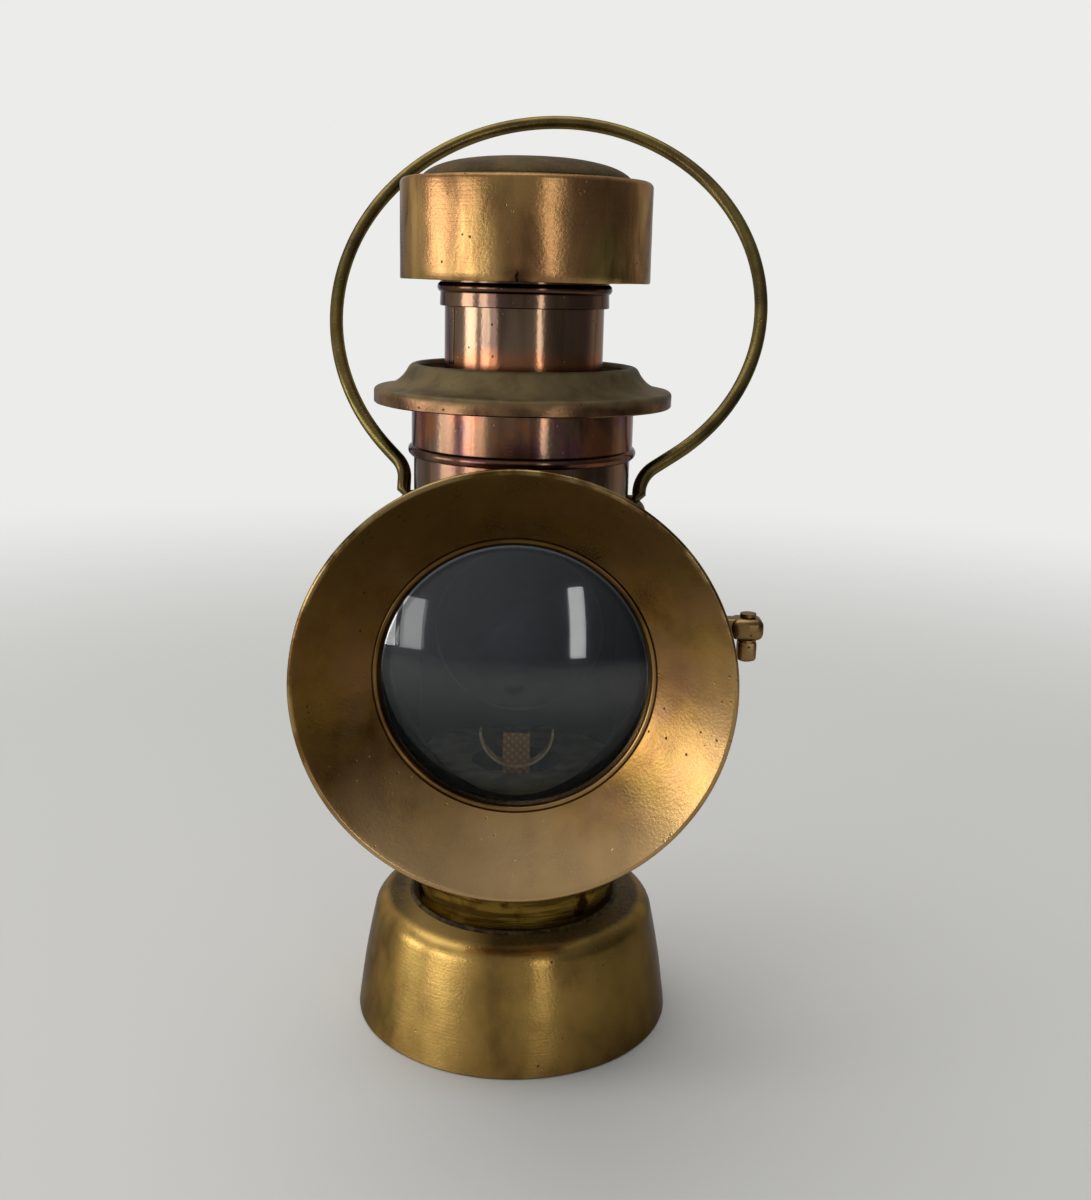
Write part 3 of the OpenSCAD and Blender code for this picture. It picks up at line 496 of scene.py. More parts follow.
knob_brass = finish("knob_brass", lambda s: worn_brass(
    s, paint("c09a50"), paint("8b6a38"), paint("5e4526"), 0.3, 0.6, 0.1))
finish_piece(knob, knob_brass, "winder", "burner_brass", "winder_knob")

# The case: a tube of bronze sheet with a drum let into its front for the lens.
# Outside it is polished and heat-tinted, and inside it is black with soot, over a dusty floor.


def heat_tinted(s, soot_inside=None):
    """Bronze that heat has coloured in upright streaks, from copper to purple."""
    streaks = s.cloud(70, 4, (1, 1, 0.09), 0.3)
    bands = s.cloud(150, 3, (1, 1, 0.06))
    blush = s.cloud(30, 3, (1, 1, 0.3), 0.4)
    colour = s.mix(s.rise(streaks, 0.34, 0.64), paint("4c3e33"), paint("8e735c"))
    colour = s.mix(s.rise(blush, 0.46, 0.74) * 0.6, colour, paint("9a6846"))
    colour = s.mix(s.rise(bands, 0.52, 0.7) * 0.35, colour, paint("775462"))
    pits = 1 - s.rise(s.cells(190), 0.015, 0.1)
    colour = s.mix(pits * 0.5, colour, paint("2b1b14"))
    height = 1.6 * s.cloud(30, 2, (1, 1, 0.5)) + 0.12 * s.cloud(700, 2) - 0.4 * pits
    sockets = {"Metallic": 1.0, "Roughness": 0.15 + 0.12 * blush + 0.3 * pits}
    if soot_inside is not None:
        colour = s.mix(soot_inside, colour, paint("131211"))
        height = height * (1 - soot_inside)
        sockets["Specular IOR Level"] = 0.1
        sockets["Metallic"] = 1 - soot_inside
        sockets["Roughness"] = 0.15 + 0.12 * blush + 0.7 * soot_inside
    sockets.update({"Base Color": colour, "Normal": s.bump(height, 0.00025), **drawn_round, **tarnished})
    return sockets


case_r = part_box("case_tube")[1].x
barrel_low, barrel_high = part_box("lens_barrel")
lens_z = (barrel_low.z + barrel_high.z) / 2
barrel_r = barrel_high.x
barrel_back = barrel_high.y
inner_skin = 0.7 * mm
outer_skin = 0.4 * mm


def in_barrel(s, back):
    """1 inside the barrel and in front of that place, 0 elsewhere."""
    about = s.length(s.across("X"), s.across("Z") - lens_z)
    within = 1 - s.rise(about, barrel_r - inner_skin, barrel_r - outer_skin)
    return within * (1 - s.rise(s.across("Y"), back, back + 0.3 * mm))


def barrel_look(s):
    return heat_tinted(s, in_barrel(s, barrel_back - inner_skin))


def case_look(s):
    """Soot covers the inside, and the edge of the opening behind the lens."""
    outside = s.rise(s.radius(), case_r - inner_skin, case_r - outer_skin)
    return heat_tinted(s, 1 - outside * (1 - in_barrel(s, barrel_back - 0.9 * mm)))


def floor_look(s):
    dust = s.cloud(120, 5)
    colour = s.mix(s.rise(dust, 0.35, 0.65), paint("5a5844"), paint("7c765a"))
    return {"Base Color": colour, "Roughness": 0.85, "Metallic": 0.1, "Normal": s.bump(dust, 0.0003)}


coat(finish("case_bronze_tinted", case_look), "case_tube")
coat(finish("barrel_bronze", barrel_look), "lens_barrel")
coat(finish("dusty_case_floor", floor_look), "case_floor")
fittings = finish("fittings_bronze", lambda s: worn_brass(
    s, paint("9a7845"), paint("6f5331"), paint("46331f"), 0.36, 0.35, 0.1))
coat(fittings, "reflector_clip", "bail_bosses", "hinge_leaf_case", "catch_strike", "hinge_pin")

# The back seam of the case: the sheet's two edges, hooked together and hammered flat.
# It runs up the back of the tube as a low strip, from the foot to just under the cowl.

seam_w = 5 * mm
seam_proud = 0.7 * mm
seam_sunk = 0.02 * mm
seam_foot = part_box("case_tube")[0].z + 1 * mm
seam_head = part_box("cowl_sleeve")[0].z - 1 * mm


def lap_seam(name, radius, width, proud, azimuth, low, high, rows=12):
    """A strip that follows a tube of that radius, with its middle at the azimuth, in degrees."""
    fresh()
    half = width / 2 / radius
    bpy.ops.mesh.primitive_circle_add(vertices=round(4 * pi / half), radius=radius)
    strip = bpy.context.object
    strip.name = name
    bpy.ops.object.mode_set(mode="EDIT")
    bpy.ops.mesh.select_all(action="DESELECT")
    bpy.ops.object.mode_set(mode="OBJECT")
    right = max(strip.data.vertices, key=lambda corner: corner.co.x)
    start = atan2(right.co.y, right.co.x)
    for corner in strip.data.vertices:
        turned = atan2(corner.co.y, corner.co.x) - start
        corner.select = abs((turned + pi) % (2 * pi) - pi) > 1.02 * half
    bpy.ops.object.mode_set(mode="EDIT")
    bpy.ops.mesh.delete(type="VERT")
    bpy.ops.mesh.select_all(action="SELECT")
    bpy.ops.transform.translate(value=(0, 0, low))
    for _ in range(rows):
        bpy.ops.mesh.extrude_region_move(TRANSFORM_OT_translate={"value": (0, 0, (high - low) / rows)})
    bpy.ops.mesh.select_all(action="SELECT")
    bpy.ops.mesh.normals_make_consistent(inside=False)
    bpy.ops.object.mode_set(mode="OBJECT")
    first = strip.data.polygons[0]
    if first.normal.x * first.center.x + first.normal.y * first.center.y > 0:
        bpy.ops.object.mode_set(mode="EDIT")
        bpy.ops.mesh.flip_normals()
        bpy.ops.object.mode_set(mode="OBJECT")
    wall(strip, proud)
    modify(strip, "BEVEL", width=proud * 0.4, segments=3, limit_method="ANGLE")
    place_on_axis(strip, (0, 0, radians(azimuth) - start), (0, 0, 0))
    smooth(strip)
    return strip


case_seam = lap_seam("case_back_seam", case_r - seam_sunk, seam_w, seam_proud, 90, seam_foot, seam_head)
finish_piece(case_seam, finish("seam_bronze", heat_tinted), "case", "case_bronze")

# The reflector: a dish of tinned sheet behind the flame, clipped to the back of the case.
# Lamp smoke has dulled it to a bluish grey.


def tin_look(s):
    smoke = s.cloud(45, 4, distortion=0.5)
    colour = s.mix(s.rise(smoke, 0.35, 0.65), paint("222528"), paint("3c4144"))
    return {"Base Color": colour, "Metallic": 0.9, "Roughness": 0.34 + 0.3 * smoke,
            "Normal": s.bump(s.cloud(60, 2), 0.0002)}


coat(finish("smoked_tin", tin_look), "reflector")

# The bail: one length of brass wire, bent out over each ear and round in a wide sweep.
# Its ends are hammered flat and drilled, and turn on domed rivets in the sides of the case.

bail_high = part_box("bail")[1]
rivet_low, rivet_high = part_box("bail_rivets")
pivot_z = (rivet_low.z + rivet_high.z) / 2
wire_r = 2.75 * mm
bail_lean = radians(30)
bail_skew = 13 * mm
ear_r = 5 * mm
ear_t = 2.4 * mm
ear_spread = 1.45
eye_r = 2.7 * mm
boss_gap = 0.3 * mm
ear_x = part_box("bail_bosses")[1].x + boss_gap + ear_t / 2
foot_x = ear_x - ear_t / 2 + wire_r
crown_h = (bail_high.z - wire_r - pivot_z) / cos(bail_lean)
left_side = {"side": -1, "run": 12.5 * mm, "bend": 12 * mm, "straight": 6 * mm}
right_side = {"side": 1, "run": 8 * mm, "bend": 14 * mm, "straight": 10.5 * mm}


def bail_turns(side, run, bend, straight):
    """The splay of the wire over the ear, and the radius of its sweep to the crown."""
    across = foot_x + bend - side * bail_skew
    up = crown_h - run + bend
    both = (across * across + up * up - straight * straight) / (2 * up)
    turn = atan2(up - both, across) - atan2(straight, both)
    return turn, both - bend


def push(x, z):
    bpy.ops.mesh.extrude_region_move(TRANSFORM_OT_translate={"value": (x, 0, z)})


def swing(x, z, turn, steps):
    """Carries the open end of the wire round the point x, z. A positive turn runs from left to right."""
    bpy.ops.mesh.spin(steps=steps, angle=abs(turn), center=(x, 0, z), axis=(0, -1 if turn > 0 else 1, 0))


fresh()
bpy.ops.mesh.primitive_circle_add(vertices=28, radius=wire_r)
bail = bpy.context.object
bail.name = "bail_wire"
bpy.ops.object.mode_set(mode="EDIT")
bpy.ops.mesh.select_all(action="SELECT")
flat = (ear_t / 2 / wire_r, ear_spread, 1)
round_again = (1 / flat[0], 1 / flat[1], 1)
turn_left, sweep_left = bail_turns(**left_side)
turn_right, sweep_right = bail_turns(**right_side)
run, bend, straight = left_side["run"], left_side["bend"], left_side["straight"]
start_h = 3.2 * mm
flat_h = 1.6 * mm
swell_h = 2.6 * mm
bend_steps = 8
sweep_steps = 56
bpy.ops.transform.resize(value=flat, center_override=(0, 0, 0))
bpy.ops.transform.translate(value=(-ear_x, 0, start_h))
push(0, flat_h)
push(ear_x - foot_x, swell_h)
bpy.ops.transform.resize(value=round_again, center_override=(-foot_x, 0, start_h + flat_h + swell_h))
push(0, run - start_h - flat_h - swell_h)
swing(-foot_x - bend, run, -turn_left, bend_steps)
push(-straight * sin(turn_left), straight * cos(turn_left))
swing(bail_skew, crown_h - sweep_left, turn_left + pi / 2, sweep_steps)
swing(bail_skew, crown_h - sweep_right, turn_right + pi / 2, sweep_steps)
run, bend, straight = right_side["run"], right_side["bend"], right_side["straight"]
push(-straight * sin(turn_right), -straight * cos(turn_right))
swing(foot_x + bend, run, -turn_right, bend_steps)
push(0, start_h + flat_h + swell_h - run)
push(ear_x - foot_x, -swell_h)
bpy.ops.transform.resize(value=flat, center_override=(ear_x, 0, start_h + flat_h))
push(0, -flat_h)
bpy.ops.mesh.select_all(action="DESELECT")
bpy.ops.mesh.select_non_manifold()
bpy.ops.mesh.edge_face_add()
bpy.ops.mesh.select_all(action="SELECT")
bpy.ops.mesh.normals_make_consistent(inside=False)
bpy.ops.object.mode_set(mode="OBJECT")

ears = []
for side in (-1, 1):
    ear = spin_sheet("bail_ear", [(eye_r, 0.0)] + line((eye_r, 0), (ear_r, 0), 3) + [(ear_r, 0.0)], 48)
    modify(ear, "SOLIDIFY", thickness=ear_t, offset=0.0)
    modify(ear, "BEVEL", width=0.45 * mm, segments=3, limit_method="ANGLE")
    place_on_axis(ear, (0, pi / 2, 0), (side * ear_x, 0, 0))
    ears.append(ear)
fresh()
for piece in ears + [bail]:
    piece.select_set(True)
bpy.context.view_layer.objects.active = bail
bpy.ops.object.join()
place_on_axis(bail, (-bail_lean, 0, 0), (0, 0, pivot_z))
smooth(bail, 40)


def wire_look(s):
    worn = worn_brass(s, paint("746338"), paint("5f5130"), paint("4f4228"), 0.3, 0.5, 0.2)
    drawn = s.cloud(220, 2, (0.4, 1, 1))
    worn["Roughness"] = worn["Roughness"] + 0.08 * (drawn - 0.5)
    return worn


wire_brass = finish("bail_wire_brass", wire_look)
finish_piece(bail, wire_brass, "bail", "wire_brass", "bail")
coat(wire_brass, "bail_rivets")

# The door's hood: a shallow funnel of brass sheet, soldered to the lens ring at its foot.
# Its rim is rolled to a hollow hem. The sheet is rosy in patches; shade is painted dark at its top and
# left, light is painted pale at its foot, and highlights are painted golden at its right and along the rim.

hood_low, hood_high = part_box("hood")
hood_r = hood_high.x
hood_front = -hood_low.y
ring_front = -hood_high.y
hem_r = 1.3 * mm
hem_turn = 265
hem_c = (hood_r - hem_r, hood_front - hem_r)
hood_foot_r = 52.6 * mm
hood_lap = 1 * mm
hood_foot = (hood_foot_r, ring_front + hood_lap)
hood_run = hypot(hem_c[0] - hood_foot[0], hem_c[1] - hood_foot[1])
hood_way = ((hem_c[0] - hood_foot[0]) / hood_run, (hem_c[1] - hood_foot[1]) / hood_run)
hem_start = (hem_c[0] - hem_r * hood_way[1], hem_c[1] + hem_r * hood_way[0])
roll_start = 90 + atan2(hood_way[1], hood_way[0]) * 180 / pi
funnel = [hood_foot] + line(hood_foot, hem_start, 18)
funnel += arc(hem_c, hem_r, roll_start, roll_start - hem_turn, 22)
hood = spin_sheet("hood_funnel", funnel, 192, outwards=False)
dent(hood, 60 * mm, 0.5 * mm)
wall(hood, 0.8 * mm)
place_on_axis(hood, (pi / 2, 0, 0), (0, 0, lens_z))
smooth(hood, 40)


def hood_look(s):
    x = s.across("X")
    z = s.across("Z") - lens_z
    wobble = 30 * mm * (s.cloud(30, 3) - 0.5)
    worn = worn_brass(s, paint("9d7839"), paint("856033"), paint("704d29"), 0.3, 0.5, 0.15)
    # Painted shade: the top is made dark brown.
    top = s.rise(z + wobble, -10 * mm, 60 * mm)
    # Painted shade: the left is made dark.
    left = s.rise(wobble - x + 0.4 * z, 20 * mm, 70 * mm)
    # Painted light: the foot is made pale.
    foot = s.rise(wobble - z, 30 * mm, 70 * mm)
    # Painted highlight: the right is made golden.
    gold = s.rise(x - 0.3 * z + wobble, 46 * mm, 88 * mm)
    # Painted highlight: a pale line runs along the rim.
    edge = s.rise(s.length(x, z), hood_r - 2.4 * mm, hood_r - 1.2 * mm)
    rosy = s.rise(s.cloud(45, 4, distortion=0.5), 0.45, 0.65)
    colour = s.mix(rosy * 0.4, worn["Base Color"], paint("8a6650"))
    colour = s.mix(left * 0.6, colour, paint("523813"))
    colour = s.mix(top * 0.85, colour, paint("3f2e13"))
    colour = s.mix(foot * 0.7, colour, paint("c8a576"))
    colour = s.mix(gold * 0.5, colour, paint("ab8c5c"))
    colour = s.mix(edge * s.rise(s.cloud(60, 4), 0.4, 0.55) * 0.5, colour, paint("b79a68"))
    worn["Base Color"] = colour
    return worn


finish_piece(hood, finish("hood_brass", hood_look), "door", "door_brass", "hood")

# The lens ring: a cup of brass that slides over the barrel, with a bead round the glass.
# A flat ring behind holds the glass, and a folded leaf on the left carries the hinge.


def ring_look(s):
    worn = s.cloud(45, 4, distortion=0.5)
    colour = s.mix(s.rise(worn, 0.35, 0.65), paint("5c4224"), paint("846437"))
    z = s.across("Z") - lens_z
    # Painted shade: the top of the ring is made darker.
    colour = s.mix(s.rise(z, -20 * mm, 40 * mm) * 0.6, colour, paint("3a2a13"))
    # Painted highlight: the lower right of the ring is made pale.
    colour = s.mix(s.rise(s.across("X") - z, 20 * mm, 70 * mm) * 0.6, colour, paint("b08c5c"))
    height = s.cloud(30, 2) + 0.1 * s.cloud(800, 2)
    return {"Base Color": colour, "Metallic": 1.0, "Roughness": 0.24 + 0.16 * worn,
            "Normal": s.bump(height, 0.00015), **tarnished}


coat(finish("lens_ring_brass", ring_look), "door_ring", "lens_retainer", "hinge_leaf_door", "catch_tongue")

# The lens: a thick watch-glass bulge of clear glass that time has turned slightly blue.
# Its top is darkened above the burner, as a smoke film and as a painted dark reflection; dust lies on it in
# fine specks, and its edge is painted dark as shade.

ring_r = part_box("door_ring")[1].x
ring_rim = 5.9 * mm
shown_r = ring_r - ring_rim


def glass_look(s):
    z = s.across("Z") - lens_z
    about = s.length(s.across("X"), z)
    shade = s.rise(about, shown_r - 0.9 * mm, shown_r - 0.2 * mm)
    film = s.cloud(28, 4, distortion=0.5)
    specks = 1 - s.rise(s.cells(210), 0.02, 0.07)
    # The top of the glass is darkened, as smoke and as painted dark reflection.
    smoke = s.rise(z + 12 * mm * (film - 0.5), -20 * mm, 2 * mm)
    tinted = s.mix(smoke, paint("0a1f28"), paint("08151e"))
    tinted = s.mix(specks * 0.5, tinted, paint("4a5c64"))
    return {"Base Color": s.mix(shade, tinted, paint("0a0c0e")),
            "Roughness": 0.05 + 0.1 * film + 0.1 * specks, "Alpha": 0.13 + 0.14 * smoke + 0.6 * shade,
            "Coat Weight": 1.0, "Coat Roughness": 0.01, "Coat IOR": 2.1}


coat(finish("lens_glass_blue", glass_look), "lens")

# The door catch: a lug soldered to the lens ring carries a turning stem with a square thumb piece.
# Its blocks are cast brass, filed to shape, with rounded corners.

lug_low, lug_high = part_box("catch_lug")
thumb_low, thumb_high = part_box("catch_knob")
stem_r = 2 * mm
stem_x = (thumb_low.x + thumb_high.x) / 2
stem_y = (thumb_low.y + thumb_high.y) / 2
lug_r = lug_high.x - stem_x
arm_half = 3.4 * mm
arm_inset = 0.3 * mm
arm_sunk = 0.6 * mm
thumb_lift = 1.3 * mm


def block(name, low, high, soft):
    """A block with rounded edges between two corners."""
    fresh()
    middle = [(a + b) / 2 for a, b in zip(low, high)]
    bpy.ops.mesh.primitive_cube_add(size=1, location=middle)
    made = bpy.context.object
    made.name = name
    made.scale = [b - a for a, b in zip(low, high)]
    bpy.ops.object.transform_apply(location=True, rotation=True, scale=True)
    modify(made, "BEVEL", width=soft, segments=4, limit_method="ANGLE")
    return made


def drill(piece, x, y, radius, low, high):
    """Cuts an upright hole through the piece."""
    fresh()
    bpy.ops.mesh.primitive_cylinder_add(
        vertices=48, radius=radius, depth=high - low, location=(x, y, (low + high) / 2))
    bit = bpy.context.object
    modify(piece, "BOOLEAN", object=bit, operation="DIFFERENCE", solver="EXACT")
    bpy.data.objects.remove(bit)


def weld(piece, other):
    modify(piece, "BOOLEAN", object=other, operation="UNION", solver="EXACT")
    bpy.data.objects.remove(other)


arm_root = sqrt(ring_r ** 2 - (lug_high.z - lens_z) ** 2) - arm_sunk
lug = block("catch_lug_block", (stem_x - lug_r * 1.1, stem_y - lug_r * 0.95, lug_low.z),
            (stem_x + lug_r * 0.95, stem_y + lug_r * 0.95, lug_high.z), 2.6 * mm)
arm = block("catch_arm", (arm_root, stem_y - arm_half, lug_low.z + arm_inset),
            (stem_x, stem_y + arm_half, lug_high.z - arm_inset), 1 * mm)
weld(lug, arm)
drill(lug, stem_x, stem_y, stem_r + 0.1 * mm, lug_low.z - 2 * mm, lug_high.z + 2 * mm)
smooth(lug, 30)
thumb = block("catch_thumb_piece", (thumb_low.x, thumb_low.y, thumb_low.z + thumb_lift),
              (thumb_high.x, thumb_high.y, thumb_high.z + thumb_lift), 1.6 * mm)
smooth(thumb, 30)
catch_brass = finish("catch_brass", lambda s: worn_brass(
    s, paint("9a7d50"), paint("705838"), paint("4a3a28"), 0.34, 0.45, 0.05))
finish_piece(lug, catch_brass, "door", "door_brass", "catch_lug")
finish_piece(thumb, catch_brass, "catch", "door_brass", "catch_knob")
coat(catch_brass, "catch_stem")

# The cowl: a sleeve with a rolled bead that slips over the case, under a stack in a loose collar.
# All are polished bronze that the heat has tinted, and the stack closes with an upright lap seam.

sleeve_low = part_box("cowl_sleeve")[0]


def sleeve_look(s):
    worn = heat_tinted(s)
    copper = s.rise(s.cloud(42, 3, (1, 1, 0.5), 0.8), 0.47, 0.6)
    purple = s.rise(s.cloud(58, 3, (1, 1, 0.8), 0.5), 0.53, 0.64)
    green = s.rise(s.cloud(75, 3, (1, 1, 0.5), 0.5), 0.6, 0.7)
    colour = s.mix(copper * 0.65, worn["Base Color"], paint("a5663f"))
    colour = s.mix(purple * 0.55, colour, paint("7d4a5e"))
    colour = s.mix(green * 0.5, colour, paint("86804a"))
    drawn = s.rise(s.cloud(170, 3, (1, 1, 0.1), 0.3), 0.52, 0.62)
    colour = s.mix(drawn * 0.45, colour, paint("4c3038"))
    on_bead = 1 - s.rise(s.across("Z"), sleeve_low.z + 4.1 * mm, sleeve_low.z + 4.9 * mm)
    worn["Base Color"] = s.mix(on_bead * 0.5, colour, paint("4b3325"))
    return worn


coat(finish("sleeve_bronze", sleeve_look), "cowl_sleeve", "stack_spider")


def stack_look(s):
    worn = heat_tinted(s)
    # Painted light: a copper glow is painted round the foot of the stack.
    painted_copper_glow = 1 - s.rise(s.across("Z") + 6 * mm * s.cloud(60, 3), 276 * mm, 283 * mm)
    worn["Base Color"] = s.mix(painted_copper_glow * 0.6, worn["Base Color"], paint("a8663f"))
    return worn


coat(finish("stack_bronze", stack_look), "stack_tube")
stack_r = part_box("stack_tube")[1].x
collar_low, collar_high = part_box("stack_collar")
brim_low, brim_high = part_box("brim")
lap_w = 4.2 * mm
lap_proud = 0.3 * mm
lap_azimuth = 208
stack_seam = lap_seam("stack_lap_seam", stack_r - seam_sunk, lap_w, lap_proud, lap_azimuth,
                      brim_high.z + 0.4 * mm, collar_low.z - 0.2 * mm)
finish_piece(stack_seam, finish("lap_bronze", heat_tinted), "cowl", "cowl_bronze")
collar_bead_r = 2.1 * mm
collar_bead_z = collar_low.z + 7 * mm
collar_r = collar_high.x - 1.2 * mm
bead_turn = 64
collar_side = [(collar_r - 1.2 * mm, collar_low.z), (collar_r - 0.1 * mm, collar_low.z)]
collar_side += [(collar_r + 0.2 * mm, collar_low.z + 0.3 * mm)]
collar_side += arc((collar_high.x - collar_bead_r, collar_bead_z), collar_bead_r, -bead_turn, bead_turn, 14)
collar_side += [(collar_r, collar_high.z - 0.3 * mm), (collar_r - 0.4 * mm, collar_high.z)]
collar = spin_sheet("beaded_collar", collar_side)
wall(collar, 1.5 * mm)
smooth(collar, 40)


def collar_look(s):
    worn = heat_tinted(s)
    off = s.node("Math", {"operation": "ABSOLUTE"}, {0: s.across("Z") - collar_bead_z})
    on_bead = 1 - s.rise(off, 1.6 * mm, 2.4 * mm)
    worn["Base Color"] = s.mix(0.35 + on_bead * 0.45, worn["Base Color"], paint("4b3325"))
    return worn


finish_piece(collar, finish("collar_bronze", collar_look), "cowl", "cowl_bronze", "stack_collar")

# The brim: a spun ring with an upright edge and a hollow curve up to the stack.
# It keeps rain out of the sleeve, and dust has settled on its top as a dull olive coat.

brim_r = brim_high.x
edge_h = 6 * mm
edge_round = 1.6 * mm
crease_r = brim_r - edge_round
steepest = 64
lip_round = 3.2 * mm
both_curves = (brim_high.z - brim_low.z - edge_h) / (1 - cos(radians(steepest)))
hollow_r = both_curves - lip_round
hollow_c = (crease_r, brim_low.z + edge_h + hollow_r)
lip_c = (crease_r - both_curves * sin(radians(steepest)), brim_high.z - lip_round)
upright = [(brim_r - 1.3 * mm, brim_low.z + 0.1 * mm), (brim_r - 0.5 * mm, brim_low.z),
           (brim_r, brim_low.z + 0.5 * mm)]
upright += line(upright[-1], (brim_r, brim_low.z + edge_h - edge_round), 4)
upright += arc((crease_r, brim_low.z + edge_h - edge_round), edge_round, 0, 90, 5)
hollow = arc(hollow_c, hollow_r, -90, -90 - steepest, 12)[1:]
top_edge = arc(lip_c, lip_round, 90 - steepest, 100, 8)[1:]
top_edge += [(lip_c[0] - 1.2 * mm, brim_high.z - 0.5 * mm), (lip_c[0] - 1.5 * mm, brim_high.z - 1.4 * mm)]
brim = spin_sheet("spun_brim", upright + hollow + top_edge)
dent(brim, 30 * mm, 0.5 * mm)
wall(brim, 1 * mm)
smooth(brim, 40)


def brim_look(s):
    up = s.across("Z") + 5 * mm * (s.cloud(55, 4) - 0.5)
    settled = s.rise(up, brim_low.z + 2.8 * mm, brim_low.z + 6.2 * mm)
    return worn_brass(s, paint("93734e"), paint("6e4f39"), paint("4d3629"), 0.3, 0.4, 0.05,
                      settled * 0.92, paint("6b6041"))


finish_piece(brim, finish("brim_brass", brim_look), "cowl", "cap_brass", "brim")

# The cap: a deep spun drum that hangs over the stack on three struts, with a low dome on top.
# Its side is golden with brown and green stains, and its lower edge is nicked and cracked in front.
# Dust lies on its top.

cap_low, cap_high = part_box("cap_drum")
dome_low, dome_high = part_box("cap_dome")
cap_r = cap_high.x
cap_round = 2 * mm
cap_side = [(cap_r - 1.2 * mm, cap_low.z + 0.1 * mm), (cap_r - 0.4 * mm, cap_low.z),
            (cap_r - 0.05 * mm, cap_low.z + 0.5 * mm)]
cap_side += line(cap_side[-1], (cap_r, cap_high.z - cap_round), 12)
cap_side += arc((cap_r - cap_round, cap_high.z - cap_round), cap_round, 0, 90, 6)
cap_side += line(cap_side[-1], (dome_high.x - 3 * mm, cap_high.z), 4) + [(dome_high.x - 3 * mm, cap_high.z)]
cap = spin_sheet("cap_drum_spun", cap_side)
dent(cap, 35 * mm, 0.6 * mm)
wall(cap, 1 * mm)
nick_azimuth = radians(-92)
nick_spot = (cap_r * cos(nick_azimuth), cap_r * sin(nick_azimuth), cap_low.z)
nick_d = 0.9 * mm
nick_w = 6 * mm
nick_h = 5 * mm
for corner in cap.data.vertices:
    off = hypot(corner.co.x - nick_spot[0], corner.co.y - nick_spot[1])
    rise = corner.co.z - nick_spot[2]
    corner.co.y += nick_d * max(0, 1 - off / nick_w) ** 2 * max(0, 1 - rise / nick_h)
smooth(cap, 40)


def cap_look(s):
    up = s.across("Z") + 0.8 * mm * s.cloud(90, 4)
    settled = s.rise(up, cap_high.z - 0.6 * mm, cap_high.z + 0.3 * mm)
    worn = worn_brass(s, paint("c09a5e"), paint("a37e4a"), paint("86643e"), 0.3, 0.58, 0.4,
                      settled * 0.95, paint("4c4028"), 0.35, 0.28)
    rosy = s.rise(s.cloud(26, 3, (1, 1, 0.6)), 0.4, 0.56)
    stain = s.rise(s.cloud(52, 4, (1, 1, 0.4), 0.8), 0.52, 0.66)
    spot = s.node("VectorMath", {"operation": "DISTANCE"}, {0: s.place(), 1: nick_spot}, output="Value")
    grime = 1 - s.rise(spot + 6 * mm * (s.cloud(160, 4) - 0.5), 1 * mm, 8 * mm)
    clean = 1 - settled
    colour = s.mix(rosy * clean * 0.6, worn["Base Color"], paint("946646"))
    colour = s.mix(stain * clean * 0.65, colour, paint("5a4028"))
    drawn = s.rise(s.cloud(120, 4, (1, 1, 0.12), 0.3), 0.5, 0.62)
    colour = s.mix(drawn * clean * 0.45, colour, paint("6a4b2c"))
    colour = s.mix(grime * 0.85, colour, paint("2a1c14"))
    aside = s.across("X") - nick_spot[0] + 4 * mm * (s.cloud(160, 4) - 0.5)
    crack = 1 - s.rise(s.node("Math", {"operation": "ABSOLUTE"}, {0: aside}), 0.2 * mm, 0.6 * mm)
    crack_end = 1 - s.rise(spot, 2.5 * mm, 4.5 * mm)
    worn["Base Color"] = s.mix(crack * crack_end * 0.9, colour, paint("140c0a"))
    worn["Anisotropic"] = 0.45
    worn["Anisotropic Rotation"] = 0.25
    return worn


def dome_look(s):
    settled = s.rise(s.cloud(60, 5), 0.2, 0.55)
    return worn_brass(s, paint("8d7349"), paint("65502f"), paint("4c3c25"), 0.36, 0.3, 0.1,
                      0.55 + 0.4 * settled, paint("48391f"))


finish_piece(cap, finish("cap_brass_spun", cap_look), "cowl", "cap_brass", "cap_drum")
dome_r = dome_high.x
dome_h = dome_high.z - dome_low.z
dome_side = [(dome_r - 0.4 * mm, dome_low.z)]
dome_rings = 22
for i in range(dome_rings):
    share = 0.995 * cos(i / (dome_rings - 1) * pi / 2)
    bulge = 0.92 * dome_h * (1 - share ** 3) ** 0.62
    dome_side.append((max(dome_r * share, 0.02 * mm), dome_low.z + bulge))
dome = spin_sheet("pressed_dome", dome_side)
dent(dome, 30 * mm, 0.4 * mm)
wall(dome, 0.9 * mm)
smooth(dome, 50)
finish_piece(dome, finish("dome_brass", dome_look), "cowl", "cap_brass", "cap_dome")
coat(fittings, "cap_struts", "cap_baffle")

# The floor: a plain pale surface that fades into the background, under soft studio light.

fresh()
bpy.ops.mesh.primitive_circle_add(vertices=96, radius=4, fill_type="NGON", location=(0, 0, -0.2 * mm))
ground = bpy.context.object
ground.name = "pale_floor"
ground_material = bpy.data.materials.new("pale_floor")
ground_material.use_nodes = True
ground_shading = Shading(ground_material.node_tree)
ground_shader = ground_material.node_tree.nodes["Principled BSDF"]
ground_shader.inputs["Base Color"].default_value = (0.56, 0.55, 0.52, 1)
ground_shader.inputs["Roughness"].default_value = 0.8
fade = ground_shading.rise(ground_shading.radius(), 0.45, 1.4)
clear = ground_shading.node("BsdfTransparent")
shown = Level(ground_shading, ground_shader.outputs[0])
faded = ground_shading.node("MixShader", None, {0: fade, 1: shown, 2: clear})
ground_output = ground_material.node_tree.nodes["Material Output"]
ground_shading.plug(ground_output.inputs["Surface"], faded)
ground.data.materials.append(ground_material)

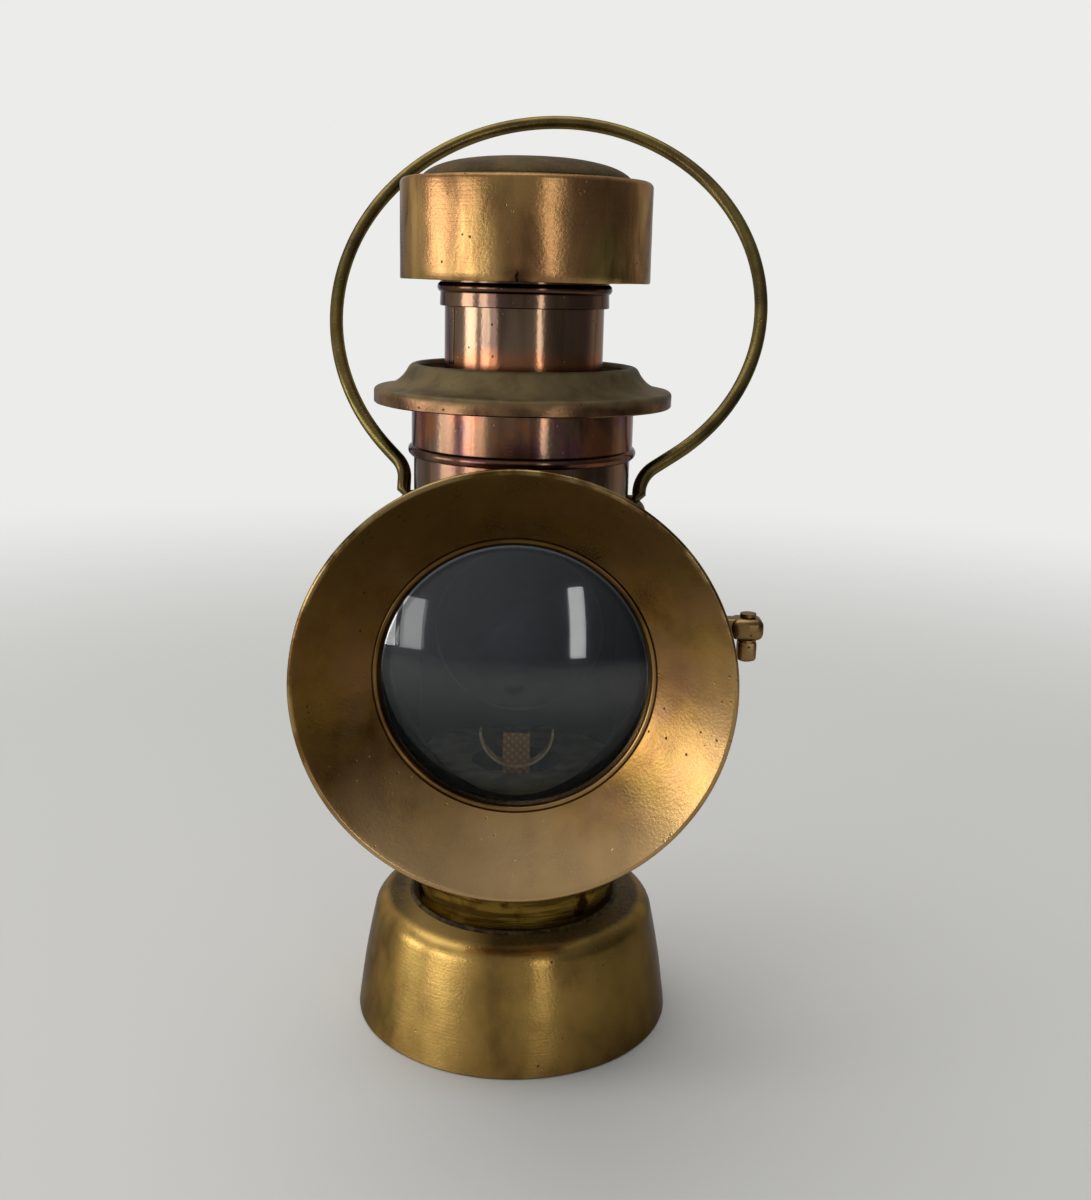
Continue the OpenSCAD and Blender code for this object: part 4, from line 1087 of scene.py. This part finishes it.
world = bpy.data.worlds.new("pale_room")
bpy.context.scene.world = world
world.use_nodes = True
room = Shading(world.node_tree)
towards = room.node("TexCoord", output="Generated")
sideways = room.node("SeparateXYZ", None, {0: towards}, output="X")
backwards = room.node("SeparateXYZ", None, {0: towards}, output="Y")
upwards = room.node("SeparateXYZ", None, {0: towards}, output="Z")
brightness = 0.33 - 0.25 * sideways + 0.14 * upwards
mirrored = room.node("LightPath", output="Is Glossy Ray")
mirrored = mirrored + room.node("LightPath", output="Is Transmission Ray")
seen = room.node("LightPath", output="Is Camera Ray") + mirrored * room.rise(backwards, 0.15, 0.95)
light_of_room = room.node("Background", None, {"Color": (0.97, 1.0, 1.03, 1), "Strength": brightness})
pale_back = room.node("Background", None, {"Color": (0.84, 0.84, 0.83, 1), "Strength": 1.0})
room_shown = room.node("MixShader", None, {0: seen, 1: light_of_room, 2: pale_back})
room.plug(world.node_tree.nodes["World Output"].inputs["Surface"], room_shown)

middle_z = 0.19


def softbox(name, azimuth, height, away, size, watts):
    """A studio lamp with a broad face, aimed at the middle of the object. Azimuth 0 is in front."""
    turn = radians(azimuth)
    data = bpy.data.lights.new(name, type="AREA")
    data.shape = "RECTANGLE"
    data.size, data.size_y = size
    data.energy = watts
    lamp = bpy.data.objects.new(name, data)
    bpy.context.scene.collection.objects.link(lamp)
    lamp.visible_camera = False
    lamp.location = (away * sin(turn), -away * cos(turn), height)
    lamp.rotation_euler = (atan2(away, height - middle_z), 0, turn)


softbox("left_window_far", -81, 0.27, 1.55, (0.54, 0.5), 5.0)
softbox("left_window_mid", -54.5, 0.27, 1.55, (0.36, 0.5), 4.0)
softbox("left_window_near", -41.5, 0.27, 1.55, (0.24, 0.5), 1.2)
softbox("right_window", 23, 0.36, 1.5, (0.16, 0.72), 1.9)
sky = bpy.data.lights.new("overhead", type="SUN")
sky.energy = 1.6
sky.angle = radians(60)
sky_lamp = bpy.data.objects.new("overhead", sky)
bpy.context.scene.collection.objects.link(sky_lamp)
sky_lamp.rotation_euler = (radians(-10), radians(-12), 0)

camera_data = bpy.data.cameras.new("photo_camera")
camera_data.lens = 40.45
camera_data.sensor_width = 36
camera = bpy.data.objects.new("photo_camera", camera_data)
bpy.context.scene.collection.objects.link(camera)
camera.location = (0.01072, -0.5331, 0.30609)
camera.rotation_mode = "ZYX"
camera.rotation_euler = (radians(90 - 13.606), 0, radians(1.355))
bpy.context.scene.camera = camera
bpy.context.scene.view_settings.view_transform = "Standard"
